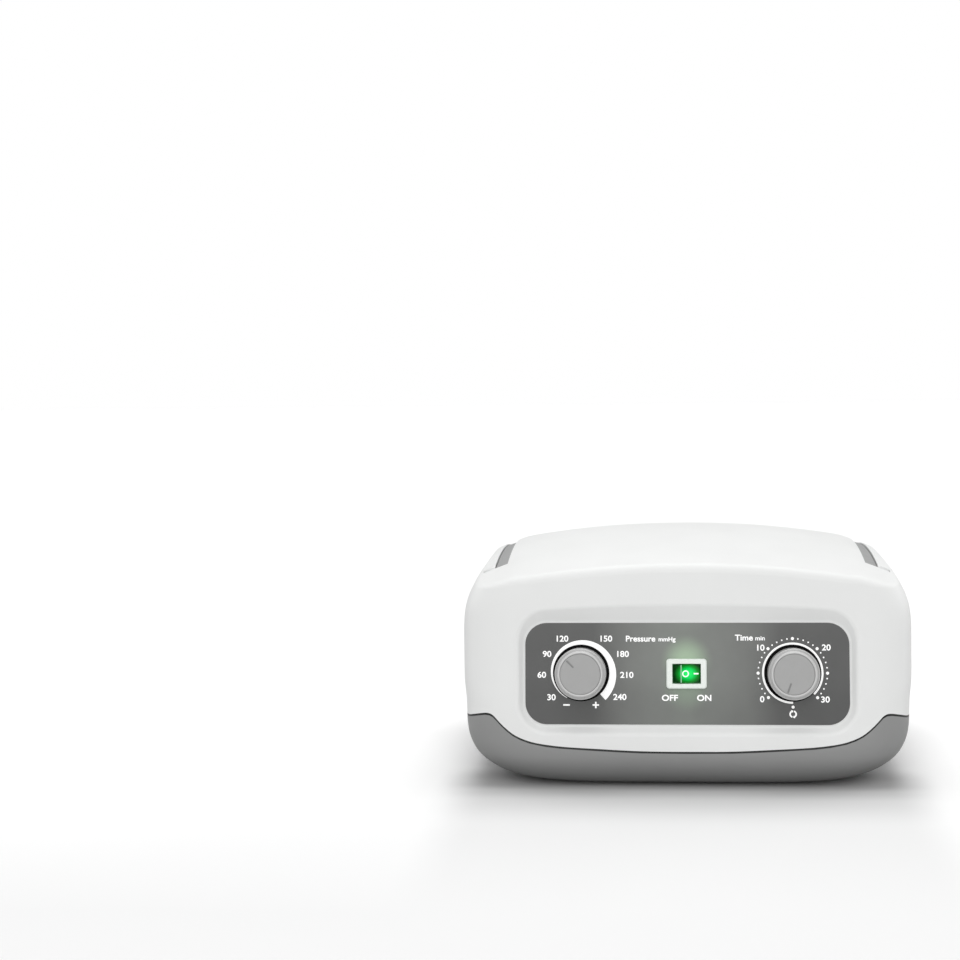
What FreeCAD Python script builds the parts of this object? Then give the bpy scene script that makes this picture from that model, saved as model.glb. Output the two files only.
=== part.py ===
import FreeCAD, Part
import Sketcher
import math
import os

V3 = FreeCAD.Vector
doc = FreeCAD.newDocument("compression_pump")

# ------------------------------------------------------------------ driving dimensions, mm and degrees
DIMS = [
    # casing
    ("wall", 2.6), ("crown_top", 127.8), ("crown_mid_y", 8.0), ("crown_bow", 0.00145),
    ("front_y", 89.3), ("rear_y", 94.0), ("tilt", 7.0),
    # control panel: its centre line, recess depth and label
    ("panel_z", 60.0), ("panel_y", 86.3), ("label_w", 168.6), ("label_h", 52.9), ("label_mid", -0.35),
    ("label_r", 11.3), ("label_thk", 0.5),
    # knobs
    ("knob_x", 55.0), ("knob_r", 13.7), ("knob_top", 12.2), ("knob_base", 0.8), ("face_r", 10.9),
    ("disc_r", 10.75), ("disc_thk", 0.75), ("shaft_r", 3.0), ("shaft_hole_r", 4.6), ("shaft_in", 9.0),
    # mains switch
    ("bezel_w", 21.0), ("bezel_ht", 15.5), ("bezel_thk", 1.9), ("switch_w", 19.2), ("switch_ht", 13.2),
    ("switch_deep", 17.0), ("rocker_w", 14.4), ("rocker_ht", 10.0), ("washer_r", 14.5), ("washer_thk", 0.7),
    # carry handle
    ("arm_in", 103.3), ("arm_out", 106.5), ("arm_front", -49.5), ("bar_front", 65.0), ("bar_rear", 84.0),
    ("handle_thk", 9.2), ("pin_y", -42.0), ("pin_z", 106.7), ("pin_r", 2.0), ("pin_run", 0.08),
    # rear panel
    ("rpan_w", 170.0), ("rpan_ht", 54.0), ("rpan_thk", 2.0), ("rpan_z", 68.0), ("rpan_y", 91.6),
    # air outlets
    ("outlet_bore_r", 2.5), ("outlet_tube_r", 4.0), ("outlet_pitch", 15.0), ("outlet_tip_y", 100.0),
    ("outlet_z", 68.0),
    # feet and screws
    ("foot_x", 66.0), ("foot_y", 54.0), ("foot_r", 7.0), ("foot_ht", 5.0),
    ("screw_x", 97.0), ("screw_y", 62.0),
    # linear air pump
    ("pump_z", 42.0), ("pump_y", -12.0), ("pump_rod_r", 3.0), ("pump_stroke", 1.5),
    # rotary air distributor
    ("valve_x", 48.0), ("valve_y", 46.0), ("valve_r", 24.0),
]
sheet = doc.addObject("Spreadsheet::Sheet", "Sizes")
VAL = {}
for row, (key, value) in enumerate(DIMS, 1):
    sheet.set("A%d" % row, key)
    sheet.set("B%d" % row, str(value))
    sheet.setAlias("B%d" % row, key)
    VAL[key] = value
doc.recompute()


class Q:
    """A size with its number and the expression that gives it."""

    def __init__(self, v, e):
        self.v, self.e = float(v), e

    @staticmethod
    def of(o):
        return o if isinstance(o, Q) else Q(o, repr(float(o)))

    def __add__(self, o):
        o = Q.of(o)
        return Q(self.v + o.v, "(%s + %s)" % (self.e, o.e))

    def __sub__(self, o):
        o = Q.of(o)
        return Q(self.v - o.v, "(%s - %s)" % (self.e, o.e))

    def __mul__(self, o):
        o = Q.of(o)
        return Q(self.v * o.v, "(%s * %s)" % (self.e, o.e))

    def __truediv__(self, o):
        o = Q.of(o)
        return Q(self.v / o.v, "(%s / %s)" % (self.e, o.e))

    def __neg__(self):
        return Q(-self.v, "(0 - %s)" % self.e)

    __radd__ = __add__
    __rmul__ = __mul__

    def __rsub__(self, o):
        return Q.of(o) - self


def D(key):
    return Q(VAL[key], "Sizes." + key)


def num(o):
    return o.v if isinstance(o, Q) else float(o)


nodes = {}


def keep(obj, label):
    obj.Label = label
    nodes[label] = obj
    return obj


# ------------------------------------------------------------------ sketch and feature helpers
ROLE = {"XY": "XY_Plane", "XZ": "XZ_Plane", "YZ": "YZ_Plane"}
count = [0]


def uid(stem):
    count[0] += 1
    return "%s%03d" % (stem, count[0])


def new_body(label):
    b = doc.addObject("PartDesign::Body", label)
    return keep(b, label)


def sketch(body, plane="XY", off=0.0):
    s = body.newObject("Sketcher::SketchObject", uid("Sketch"))
    role = ROLE[plane]
    face = [f for f in body.Origin.OriginFeatures if f.Role == role][0]
    s.AttachmentSupport = [(face, "")]
    s.MapMode = "FlatFace"
    if isinstance(off, Q):
        s.setExpression("AttachmentOffset.Base.z", off.e)
        s.AttachmentOffset = FreeCAD.Placement(V3(0, 0, off.v), FreeCAD.Rotation())
    elif off:
        s.AttachmentOffset = FreeCAD.Placement(V3(0, 0, off), FreeCAD.Rotation())
    return s


def pin_point(s, geo, pos, x, y):
    """Fixes one sketch point at x, y from the sketch origin, bound to the sheet where the size comes from it."""
    for kind, val in (("DistanceX", x), ("DistanceY", y)):
        i = s.addConstraint(Sketcher.Constraint(kind, -1, 1, geo, pos, num(val)))
        if isinstance(val, Q):
            s.setExpression("Constraints[%d]" % i, val.e)


def poly(s, pts):
    """A closed outline of straight lines through points that may be bound sizes."""
    ids = []
    n = len(pts)
    for k in range(n):
        a, b = pts[k], pts[(k + 1) % n]
        ids.append(s.addGeometry(Part.LineSegment(V3(num(a[0]), num(a[1]), 0), V3(num(b[0]), num(b[1]), 0)), False))
    for k in range(n):
        s.addConstraint(Sketcher.Constraint("Coincident", ids[k], 2, ids[(k + 1) % n], 1))
    for k in range(n):
        pin_point(s, ids[k], 1, pts[k][0], pts[k][1])
    return ids


def rect(s, w, h, cx=0.0, cy=0.0):
    w, h, cx, cy = Q.of(w), Q.of(h), Q.of(cx), Q.of(cy)
    x0, x1, y0, y1 = cx - w / 2, cx + w / 2, cy - h / 2, cy + h / 2
    return poly(s, [(x0, y0), (x1, y0), (x1, y1), (x0, y1)])


def circle(s, r, cx=0.0, cy=0.0):
    g = s.addGeometry(Part.Circle(V3(num(cx), num(cy), 0), V3(0, 0, 1), num(r)), False)
    pin_point(s, g, 3, cx, cy)
    i = s.addConstraint(Sketcher.Constraint("Radius", g, num(r)))
    if isinstance(r, Q):
        s.setExpression("Constraints[%d]" % i, r.e)
    return g


def pad(body, s, length, down=False, mid=False):
    p = body.newObject("PartDesign::Pad", uid("Pad"))
    p.Profile = s
    p.Length = num(length)
    if isinstance(length, Q):
        p.setExpression("Length", length.e)
    p.Reversed = down
    if mid:
        p.SideType = "Symmetric" if hasattr(p, "SideType") else p.SideType
    s.Visibility = False
    doc.recompute()
    return p


def pocket(body, s, length, up=False):
    """Cuts the sketch into the body; raises when nothing was removed."""
    before = body.Shape.Volume
    p = body.newObject("PartDesign::Pocket", uid("Pocket"))
    p.Profile = s
    p.Length = num(length)
    if isinstance(length, Q):
        p.setExpression("Length", length.e)
    p.Reversed = up
    s.Visibility = False
    doc.recompute()
    if not p.Shape.Volume < before - 1e-6:
        raise RuntimeError("pocket cut nothing in " + body.Label)
    return p


def revolve(body, pts, plane="XZ"):
    """A turned piece: outline in (radius, height) about the body's own Z axis."""
    s = sketch(body, plane)
    poly(s, pts)
    r = body.newObject("PartDesign::Revolution", uid("Rev"))
    r.Profile = s
    r.ReferenceAxis = (s, ["V_Axis"])
    r.Angle = 360.0
    doc.recompute()
    return r


def groove(body, pts, plane="XZ"):
    before = body.Shape.Volume
    s = sketch(body, plane)
    poly(s, pts)
    r = body.newObject("PartDesign::Groove", uid("Groove"))
    r.Profile = s
    r.ReferenceAxis = (s, ["V_Axis"])
    r.Angle = 360.0
    doc.recompute()
    if not r.Shape.Volume < before - 1e-6:
        raise RuntimeError("groove cut nothing in " + body.Label)
    return r


def fillet(body, size, pick, kind="PartDesign::Fillet"):
    """Rounds or bevels the edges of the tip that pick(edge) chooses."""
    tip = body.Tip
    names = ["Edge%d" % (i + 1) for i, e in enumerate(tip.Shape.Edges) if pick(e)]
    f = body.newObject(kind, uid("Dress"))
    f.Base = (tip, names)
    if kind.endswith("Fillet"):
        f.Radius = num(size)
        if isinstance(size, Q):
            f.setExpression("Radius", size.e)
    else:
        f.Size = num(size)
    doc.recompute()
    return f


def chamfer(body, size, pick):
    return fillet(body, size, pick, "PartDesign::Chamfer")


def along_z(e):
    return len(e.Vertexes) == 2 and abs(abs((e.Vertexes[1].Point - e.Vertexes[0].Point).normalize().z) - 1) < 1e-6


def place(obj, x=0.0, y=0.0, z=0.0, axis=(1, 0, 0), angle=0.0):
    obj.Placement = FreeCAD.Placement(V3(num(x), num(y), num(z)), FreeCAD.Rotation(V3(*axis), num(angle)))
    for k, val in (("x", x), ("y", y), ("z", z)):
        if isinstance(val, Q):
            obj.setExpression("Placement.Base." + k, val.e)
    return obj


def on_panel(obj, x=0.0, v=0.0, n=0.0):
    """Puts a piece in the control panel's plane: its own x runs across, y up the panel and z out of it."""
    t = math.radians(VAL["tilt"])
    y = -D("panel_y") + Q.of(v) * math.sin(t) - Q.of(n) * math.cos(t)
    z = D("panel_z") + Q.of(v) * math.cos(t) + Q.of(n) * math.sin(t)
    return place(obj, x, y, z, (1, 0, 0), 90.0 - D("tilt"))


def panel_placement(x=0.0, v=0.0, n=0.0):
    t = math.radians(VAL["tilt"])
    return FreeCAD.Placement(
        V3(x, -VAL["panel_y"] + v * math.sin(t) - n * math.cos(t), VAL["panel_z"] + v * math.cos(t) + n * math.sin(t)),
        FreeCAD.Rotation(V3(1, 0, 0), 90.0 - VAL["tilt"]),
    )


def feature(label, shape):
    o = doc.addObject("Part::Feature", label)
    o.Shape = shape
    return keep(o, label)


def box(x0, x1, y0, y1, z0, z1):
    return Part.makeBox(x1 - x0, y1 - y0, z1 - z0, V3(x0, y0, z0))


def cyl(r, p, d, length):
    return Part.makeCylinder(r, length, V3(*p), V3(*d))


# ------------------------------------------------------------------ casing form
W = VAL["wall"]
TILT = math.radians(VAL["tilt"])


def table(points, z):
    """Straight interpolation in a list of (z, value)."""
    if z <= points[0][0]:
        return points[0][1]
    for (z0, v0), (z1, v1) in zip(points, points[1:]):
        if z <= z1:
            return v0 + (v1 - v0) * (z - z0) / (z1 - z0)
    return points[-1][1]


def half_width(z):
    """Half of the casing's width at a height: round underside, upright flank, raked shoulder."""
    if z < 34.0:
        k = min(1.0, (34.0 - z) / 32.9)
        return 83.0 + 35.6 * max(0.0, 1 - k ** 2.3) ** (1 / 2.3)
    return table([(34, 118.6), (40, 119.3), (50, 119.7), (62, 120.0), (74, 120.2), (84, 120.1), (88, 119.8), (92, 119.1), (95, 118.3),
                  (98, 117.1), (101, 115.7), (104, 114.1), (107, 112.3), (110, 110.5), (114, 108.1), (121, 103.9), (128, 99.7),
                  (136, 94.9)], z)


def front(z):
    """Y of the front face on the centre line: leaning back above, rolling under below."""
    y = -(VAL["front_y"]) + (z - VAL["panel_z"]) * math.tan(TILT)
    if z < 20.0:
        k = min(1.0, (20.0 - z) / 18.9)
        y += 17.0 * (1 - math.sqrt(max(0.0, 1 - k * k)))
    return y


def rear(z):
    y = VAL["rear_y"] - max(0.0, z - 98.0) * 0.10
    if z < 22.0:
        k = min(1.0, (22.0 - z) / 20.9)
        y -= 17.0 * (1 - math.sqrt(max(0.0, 1 - k * k)))
    return y


def squareness(z):
    return table([(1, 5.2), (8, 5.8), (17, 7.0), (30, 8.0), (136, 8.0)], z)


def ring(a, y0, y1, n, z, count=72):
    """A flattened-round outline: a smooth closed curve through points of a superellipse."""
    mid, b = (y0 + y1) / 2, (y1 - y0) / 2
    pts = []
    for k in range(count):
        th = math.pi / 2 + 2 * math.pi * k / count
        c, s = math.cos(th), math.sin(th)
        r = (abs(c / a) ** n + abs(s / b) ** n) ** (-1.0 / n)
        pts.append(V3(r * c, mid + r * s, z))
    curve = Part.BSplineCurve()
    curve.interpolate(Points=pts, PeriodicFlag=True)
    return Part.Wire([curve.toShape()])


OUT_Z = [1.1, 1.7, 3.0, 5.0, 7.9, 11.6, 16.0, 20.0, 27.0, 34.0, 50.0, 74.0, 86.0, 93.0, 98.0, 103.0, 108.0, 114.0, 121.0, 128.0, 136.0]


def casing(t, zs):
    """The casing's outer form drawn in by t all round, between two heights, open to the crown."""
    wires = []
    for z in zs:
        if t == 0:
            a, y0, y1 = half_width(z), front(z), rear(z)
        else:
            zl = max(1.12, z - t * 0.85)
            a = min(half_width(z) - t, half_width(zl) - 0.45 * t)
            y0 = max(front(z) + t, front(zl) + 0.45 * t)
            y1 = min(rear(z) - t, rear(zl) - 0.45 * t)
            if z > 96:
                a = min(a, half_width(z + 0.7 * t) - 0.7 * t)
        wires.append(ring(a, y0, y1, squareness(z), z))
    return Part.makeLoft(wires, True, False)


def crown_z(x, y, drop=0.0):
    ax = abs(x)
    fall = 8.32 * (ax / 96.0) ** 2.1
    if ax > 88.5:
        w = 5.0
        u = ax - 88.5
        fall += 0.187 / (2 * w) * min(u, w) ** 2 + (0.187 * (u - w) if u > w else 0.0)
    return VAL["crown_top"] - VAL["crown_bow"] * (y - VAL["crown_mid_y"]) ** 2 - fall - drop


def crown_face(drop):
    xs = [-132 + 4.0 * i for i in range(67)]
    ys = [-120 + 48.0 * i for i in range(6)]
    grid = [[V3(x, y, crown_z(x, y, drop)) for y in ys] for x in xs]
    surf = Part.BSplineSurface()
    surf.interpolate(grid)
    return surf.toShape()


def above(drop):
    """Everything over the crown surface lowered by drop."""
    return crown_face(drop).extrude(V3(0, 0, 90))


def below(drop):
    return crown_face(drop).extrude(V3(0, 0, -90))


SEAM = [(0, 20.1), (24, 20.3), (36, 20.8), (49, 21.5), (66, 22.5), (74, 23.4), (82, 24.9), (87, 26.6), (91, 28.6), (94, 30.8),
        (97, 33.4), (99.5, 35.9), (101.5, 37.8), (103.5, 38.7), (106, 38.7), (109, 38.0), (112, 37.1), (115, 35.9), (118, 34.8), (122, 34.0),
        (132, 33.0)]


def over_seam(lift):
    """The space over the parting line of the two shells; the line dips to the middle of the front and rear."""
    pts = [V3(-x, -125, z + lift) for x, z in reversed(SEAM[1:])] + [V3(x, -125, z + lift) for x, z in SEAM]
    curve = Part.BSplineCurve()
    curve.interpolate(pts)
    e = curve.toShape()
    a, b = pts[0], pts[-1]
    w = Part.Wire([e, Part.LineSegment(b, V3(132, -125, 170)).toShape(), Part.LineSegment(V3(132, -125, 170), V3(-132, -125, 170)).toShape(),
                   Part.LineSegment(V3(-132, -125, 170), a).toShape()])
    return Part.Face(w).extrude(V3(0, 250, 0))


def round_rect_wire(w, x0, x1, y0, y1, r, z, top_arc=0.0):
    """A rounded rectangle in XY at height z; its upper side may be an arch."""
    def arc(cx, cy, a0, a1, rr):
        am = (a0 + a1) / 2
        p = [V3(cx + rr * math.cos(math.radians(q)), cy + rr * math.sin(math.radians(q)), z) for q in (a0, am, a1)]
        return Part.Arc(*p).toShape()
    e = [
        Part.LineSegment(V3(x0 + r, y0, z), V3(x1 - r, y0, z)).toShape(),
        arc(x1 - r, y0 + r, -90, 0, r),
        Part.LineSegment(V3(x1, y0 + r, z), V3(x1, y1 - r, z)).toShape(),
        arc(x1 - r, y1 - r, 0, 90, r),
        (Part.Arc(V3(x1 - r, y1, z), V3(0, y1 + top_arc, z), V3(x0 + r, y1, z)).toShape() if top_arc
         else Part.LineSegment(V3(x1 - r, y1, z), V3(x0 + r, y1, z)).toShape()),
        arc(x0 + r, y1 - r, 90, 180, r),
        Part.LineSegment(V3(x0, y1 - r, z), V3(x0, y0 + r, z)).toShape(),
        arc(x0 + r, y0 + r, 180, 270, r),
    ]
    return Part.Wire(e)


def u_prism(x_in, x_out, y_front, y_bar, y_rear, r_out, r_in, z0, z1):
    """A U seen from above: two arms that run to the back and a bar across the back."""
    k = math.sqrt(0.5)
    e = []

    def seg(a, b):
        e.append(Part.LineSegment(V3(a[0], a[1], z0), V3(b[0], b[1], z0)).toShape())

    def arc(a, m, b):
        e.append(Part.Arc(V3(a[0], a[1], z0), V3(m[0], m[1], z0), V3(b[0], b[1], z0)).toShape())
    seg((x_in, y_front), (x_out, y_front))
    seg((x_out, y_front), (x_out, y_rear - r_out))
    arc((x_out, y_rear - r_out), (x_out - r_out + r_out * k, y_rear - r_out + r_out * k), (x_out - r_out, y_rear))
    seg((x_out - r_out, y_rear), (-x_out + r_out, y_rear))
    arc((-x_out + r_out, y_rear), (-x_out + r_out - r_out * k, y_rear - r_out + r_out * k), (-x_out, y_rear - r_out))
    seg((-x_out, y_rear - r_out), (-x_out, y_front))
    seg((-x_out, y_front), (-x_in, y_front))
    seg((-x_in, y_front), (-x_in, y_bar - r_in))
    arc((-x_in, y_bar - r_in), (-x_in + r_in - r_in * k, y_bar - r_in + r_in * k), (-x_in + r_in, y_bar))
    seg((-x_in + r_in, y_bar), (x_in - r_in, y_bar))
    arc((x_in - r_in, y_bar), (x_in - r_in + r_in * k, y_bar - r_in + r_in * k), (x_in, y_bar - r_in))
    seg((x_in, y_bar - r_in), (x_in, y_front))
    return Part.Face(Part.Wire(e)).extrude(V3(0, 0, z1 - z0))


def both(shape):
    m = shape.mirror(V3(0, 0, 0), V3(1, 0, 0))
    return [shape, m]


# whole outer form, its crown edge rounded
outer = casing(0.0, OUT_Z).cut(above(0.0))
outer = outer.Solids[0] if outer.ShapeType != "Solid" else outer


def crown_edges(solid):
    found = []
    for e in solid.Edges:
        mid = e.valueAt((e.FirstParameter + e.LastParameter) / 2)
        if mid.z > 60 and abs(mid.z - crown_z(mid.x, mid.y)) < 0.2:
            p0, p1 = e.Vertexes[0].Point, e.Vertexes[-1].Point
            found.append(e)
    return found


rounded = None
for r in (5.5, 5.0, 4.5, 4.0, 3.6, 3.2, 2.8):
    try:
        t = outer.makeFillet(r, crown_edges(outer))
        if t.isValid() and t.Volume < outer.Volume:
            rounded = t
            print("crown edge radius", r)
            break
    except Exception as err:
        print("crown edge radius", r, "not made:", err)
if rounded is not None:
    outer = rounded.Solids[0]

inner = casing(W, [5.6, 6.4, 7.6, 9.5, 12.0, 16.0, 20.0, 27.0, 34.0, 50.0, 74.0, 86.0, 93.0, 98.0, 103.0, 108.0, 114.0, 121.0, 128.0]).cut(above(3.0))
inner = inner.Solids[0]
print("outer", outer.isValid(), round(outer.Volume), outer.BoundBox)
print("inner", inner.isValid(), round(inner.Volume), inner.BoundBox)

# ------------------------------------------------------------------ panel recess, handle channel, rear recess
recess = Part.makeLoft([
    round_rect_wire(0, -85.2, 85.2, -28.0, 27.2, 12.3, -0.5),
    round_rect_wire(0, -95.5, 95.5, -37.0, 42.5, 21.0, 8.0, 5.0),
], True, True)
recess.Placement = panel_placement()
FROM_PANEL = panel_placement().inverse()


def rim_edges(solid, lo, hi):
    """Edges of the recess whose ends both lie between two heights over the label."""
    out = []
    for e in solid.Edges:
        if len(e.Vertexes) < 2:
            continue
        a, b = (FROM_PANEL.multVec(q.Point) for q in (e.Vertexes[0], e.Vertexes[1]))
        m = FROM_PANEL.multVec(e.valueAt((e.FirstParameter + e.LastParameter) / 2))
        if all(abs(q.x) < 97 and -40 < q.y < 52 and lo < q.z < hi for q in (a, b, m)):
            out.append(e)
    return out


faced = outer.cut(recess).Solids[0]
for what, lo, hi, sizes in (("rim", 0.2, 6.0, (3.0, 2.4, 1.8, 1.2, 0.8)), ("floor", -0.6, -0.4, (2.0, 1.5, 1.0))):
    edges = rim_edges(faced, lo, hi)
    for r in sizes:
        try:
            t = faced.makeFillet(r, rim_edges(faced, lo, hi))
            if t.isValid() and abs(t.Volume - faced.Volume) < 3000 and len(t.Solids) == 1:
                faced = t.Solids[0]
                print("recess", what, "radius", r, "on", len(edges), "edges")
                break
        except Exception as err:
            print("recess", what, "radius", r, "not made:", err)

CH_X0, CH_X1 = 96.0, VAL["arm_out"] + 0.5
CH_F, CH_B, CH_R = VAL["arm_front"] - 2.0, VAL["bar_front"] - 8.5, VAL["bar_rear"] + 0.6
THK = VAL["handle_thk"]
PY, PZ = VAL["pin_y"], VAL["pin_z"]
FOOT_R, OPEN_BACK = 5.6, 56.0


def scoop(grow=0.0):
    """The finger well in front of the middle of the grip bar."""
    w, y0 = 37.0 + grow, 45.0 - grow
    e = round_rect_wire(0, -w, w, y0, VAL["bar_front"] + 2.0 + grow, 9.0, 95.0)
    return Part.Face(e).extrude(V3(0, 0, 50))


def pivot_boxes(x0, x1, y0, y1, z0, z1):
    s = box(x0, x1, y0, y1, z0, z1)
    return both(s)


def flank(x0, grow):
    """The outer part of an arm, open to the casing's side: a round foot about the pin, then a band under the crown."""
    def zb(y):
        return crown_z(108.9, y) - THK - grow
    ye, rr = OPEN_BACK - 0.5 + grow, 5.5 + grow
    ym = (PY + ye - rr) / 2
    zr = zb(ye - rr)
    k = math.sqrt(0.5)
    e = [
        Part.Arc(V3(x0, PY, zb(PY)), V3(x0, ym, zb(ym)), V3(x0, ye - rr, zr)).toShape(),
        Part.Arc(V3(x0, ye - rr, zr), V3(x0, ye - rr + rr * k, zr + rr - rr * k), V3(x0, ye, zr + rr)).toShape(),
        Part.LineSegment(V3(x0, ye, zr + rr), V3(x0, ye, 140)).toShape(),
        Part.LineSegment(V3(x0, ye, 140), V3(x0, PY, 140)).toShape(),
        Part.LineSegment(V3(x0, PY, 140), V3(x0, PY, zb(PY))).toShape(),
    ]
    return Part.Face(Part.Wire(e)).extrude(V3(126.0 - x0, 0, 0))


u_channel = u_prism(CH_X0, CH_X1, CH_F, CH_B, CH_R, 20.5, 12.0, 95.0, 140.0).fuse(scoop())
channel = u_channel.cut(below(THK + 2.6))
channel = channel.fuse(pivot_boxes(102.9, 109.3, CH_F, -35.0, PZ - FOOT_R - 1.0, 140.0))
open_side = flank(CH_X1 - 0.1, 0.45).fuse(cyl(FOOT_R + 0.4, (CH_X1 - 0.1, PY, PZ), (1, 0, 0), 19.0))
channel = channel.fuse(both(open_side)).removeSplitter()
u_back = u_prism(CH_X0 - 2.3, 119.2, CH_F - 2.3, CH_B - 2.3, CH_R + 8.0, 26.0, 10.0, 85.0, 135.0).fuse(scoop(2.3))
backing = u_back.cut(below(THK + 5.0)).fuse(pivot_boxes(100.5, 119.0, CH_F - 2.3, -32.6, 96.0, 112.0))

RZ, RW, RH, RY, RT = VAL["rpan_z"], VAL["rpan_w"], VAL["rpan_ht"], VAL["rpan_y"], VAL["rpan_thk"]
rear_recess = box(-RW / 2 - 0.3, RW / 2 + 0.3, RY, 100, RZ - RH / 2 - 0.3, RZ + RH / 2 + 0.3)
rear_recess = rear_recess.makeFillet(5.0, [e for e in rear_recess.Edges if abs(e.Vertexes[0].Point.y - e.Vertexes[1].Point.y) > 5])
rear_open = box(-75, 75, 80, 93, RZ - 23, RZ + 23).fuse(box(-81, 81, 80, 93, RZ - 9, RZ + 9))
rear_back = box(-88, 88, RY - 2.6, 96, RZ - RH / 2 - 3, RZ + RH / 2 + 3)

panel_back = Part.makeBox(198, 92, 40, V3(-99, -41, -3.1))
panel_back.Placement = panel_placement()

SX, SY = VAL["screw_x"], VAL["screw_y"]
columns = []
for sx in (-SX, SX):
    for sy in (-SY, SY):
        columns.append(cyl(4.6, (sx, sy, 24.0), (0, 0, 1), 100.0))
for sx in (-1, 1):
    for z in (RZ - 21, RZ + 21):
        columns.append(cyl(3.6, (sx * 80.0, RY - 11.0, z), (0, 1, 0), 12.0))
cavity = inner.cut([backing, panel_back, rear_back] + columns)

seam_up = over_seam(0.0)
upper = faced.common(seam_up).cut([cavity, channel, rear_recess, rear_open])
# the columns also hang below the parting line, inside the tray
upper = upper.fuse([cyl(4.6, (sx, sy, 24.0), (0, 0, 1), 40.0) for sx in (-SX, SX) for sy in (-SY, SY)])
holes = [cyl(1.45, (sx, sy, 23.0), (0, 0, 1), 20.0) for sx in (-SX, SX) for sy in (-SY, SY)]
holes += [cyl(1.2, (sx * 80.0, RY - 10.0, z), (0, 1, 0), 12.0) for sx in (-1, 1) for z in (RZ - 21, RZ + 21)]
# louvres high in the rear wall
for k in range(9):
    holes.append(box(-44 + 11 * k - 3.5, -44 + 11 * k + 3.5, 85, 100, 101.2, 102.8))
# shaft holes and switch window through the front wall
for s in (-1, 1):
    c = Part.makeCylinder(VAL["shaft_hole_r"], 12.0)
    c.Placement = panel_placement(s * VAL["knob_x"], 0, -8.0)
    holes.append(c)
sw, sh = VAL["switch_w"] + 0.2, VAL["switch_ht"] + 0.2
c = Part.makeBox(sw, sh, 12)
c.Placement = panel_placement(-sw / 2, -sh / 2 - 0.3, -8.0)
holes.append(c)
upper = upper.cut(holes)
solids = sorted(upper.Solids, key=lambda q: -q.Volume)
print("upper solids", [round(q.Volume) for q in solids])
feature("upper_shell", solids[0])

lower = faced.cut(seam_up).cut(inner)
lower = sorted(lower.Solids, key=lambda q: -q.Volume)[0]
# shadow gap along the outer edge of the parting line
print("lower", lower.isValid(), round(lower.Volume))
add = []
for sx in (-SX, SX):
    for sy in (-SY, SY):
        add.append(cyl(4.6, (sx, sy, 9.4), (0, 0, 1), 14.3))
PUMP_FEET = [(sx, VAL["pump_y"] + sy) for sx in (-48.0, 48.0) for sy in (-22.0, 22.0)]
add += [cyl(5.0, (px, py, 4.5), (0, 0, 1), 3.5) for px, py in PUMP_FEET]
BOARD = [(bx, by) for bx in (-80.0, -20.0) for by in (28.0, 64.0)]
add += [cyl(3.2, (bx, by, 5.0), (0, 0, 1), 13.0) for bx, by in BOARD]
add += [cyl(3.2, (VAL["valve_x"] + dx, VAL["valve_y"], 4.5), (0, 0, 1), 11.5) for dx in (-29.0, 29.0)]
lower = lower.fuse(add)
cut = []
for sx in (-SX, SX):
    for sy in (-SY, SY):
        cut.append(cyl(2.0, (sx, sy, 0), (0, 0, 1), 30))
        cut.append(cyl(4.1, (sx, sy, 0), (0, 0, 1), 14.0))
for px, py in PUMP_FEET:
    cut.append(cyl(2.0, (px, py, 0), (0, 0, 1), 12))
for bx, by in BOARD:
    cut.append(cyl(1.1, (bx, by, 8.0), (0, 0, 1), 14))
for y0, n_slots in ((-66.0, 9), (36.0, 6)):
    for k in range(n_slots):
        cut.append(box(-26 + 6.5 * k - 1.5, -26 + 6.5 * k + 1.5, y0, y0 + 24, 0, 8))
for sx in (-1, 1):
    for sy in (-1, 1):
        cut.append(cyl(VAL["foot_r"] + 0.1, (sx * VAL["foot_x"], sy * VAL["foot_y"], 0.5), (0, 0, 1), 4.3))
lower = lower.cut(cut)
lower = sorted(lower.Solids, key=lambda q: -q.Volume)[0]

feature("lower_shell", lower)


# ------------------------------------------------------------------ bound primitives
def pbox(x0, y0, z0, lx, ly, lz, name="Box"):
    b = doc.addObject("Part::Box", uid(name))
    for prop, val in (("Length", lx), ("Width", ly), ("Height", lz)):
        setattr(b, prop, num(val))
        if isinstance(val, Q):
            b.setExpression(prop, val.e)
    return place(b, x0, y0, z0)


def pcyl(r, length, name="Cyl"):
    c = doc.addObject("Part::Cylinder", uid(name))
    c.Radius = num(r)
    c.Height = num(length)
    if isinstance(r, Q):
        c.setExpression("Radius", r.e)
    if isinstance(length, Q):
        c.setExpression("Height", length.e)
    return c


def fuse_all(parts, label):
    m = doc.addObject("Part::MultiFuse", uid("Fuse"))
    m.Shapes = parts
    doc.recompute()
    return keep(m, label)


# ------------------------------------------------------------------ carry handle, its pins and the channel lining
u_handle = u_prism(VAL["arm_in"], VAL["arm_out"], PY, VAL["bar_front"], VAL["bar_rear"], 20.0, 13.6, 95.0, 140.0).cut(below(THK))
foot = cyl(FOOT_R, (VAL["arm_in"], PY, PZ), (1, 0, 0), 22.0)
handle = u_handle.fuse(both(flank(VAL["arm_out"] - 0.1, 0.0)) + both(foot)).common(outer)
handle = handle.cut([cyl(VAL["pin_r"] + VAL["pin_run"], (s * 100.0, PY, PZ), (s, 0, 0), 11.4) for s in (-1, 1)])
handle = sorted(handle.Solids, key=lambda q: -q.Volume)[0]


def u_edges(solid, rear):
    """Upper edges of the U: along its rear outline, or along its inner outline."""
    got = []
    for e in solid.Edges:
        m = e.valueAt((e.FirstParameter + e.LastParameter) / 2)
        if abs(m.z - crown_z(m.x, m.y)) > 0.4 or e.Length < 5:
            continue
        if rear and (m.y > 83.5 or (abs(m.x) > 98 and m.y > 70)):
            got.append(e)
        if not rear and (abs(abs(m.x) - VAL["arm_in"]) < 0.2 or (abs(m.x) < 102 and m.y < 66)):
            got.append(e)
    return got


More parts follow.
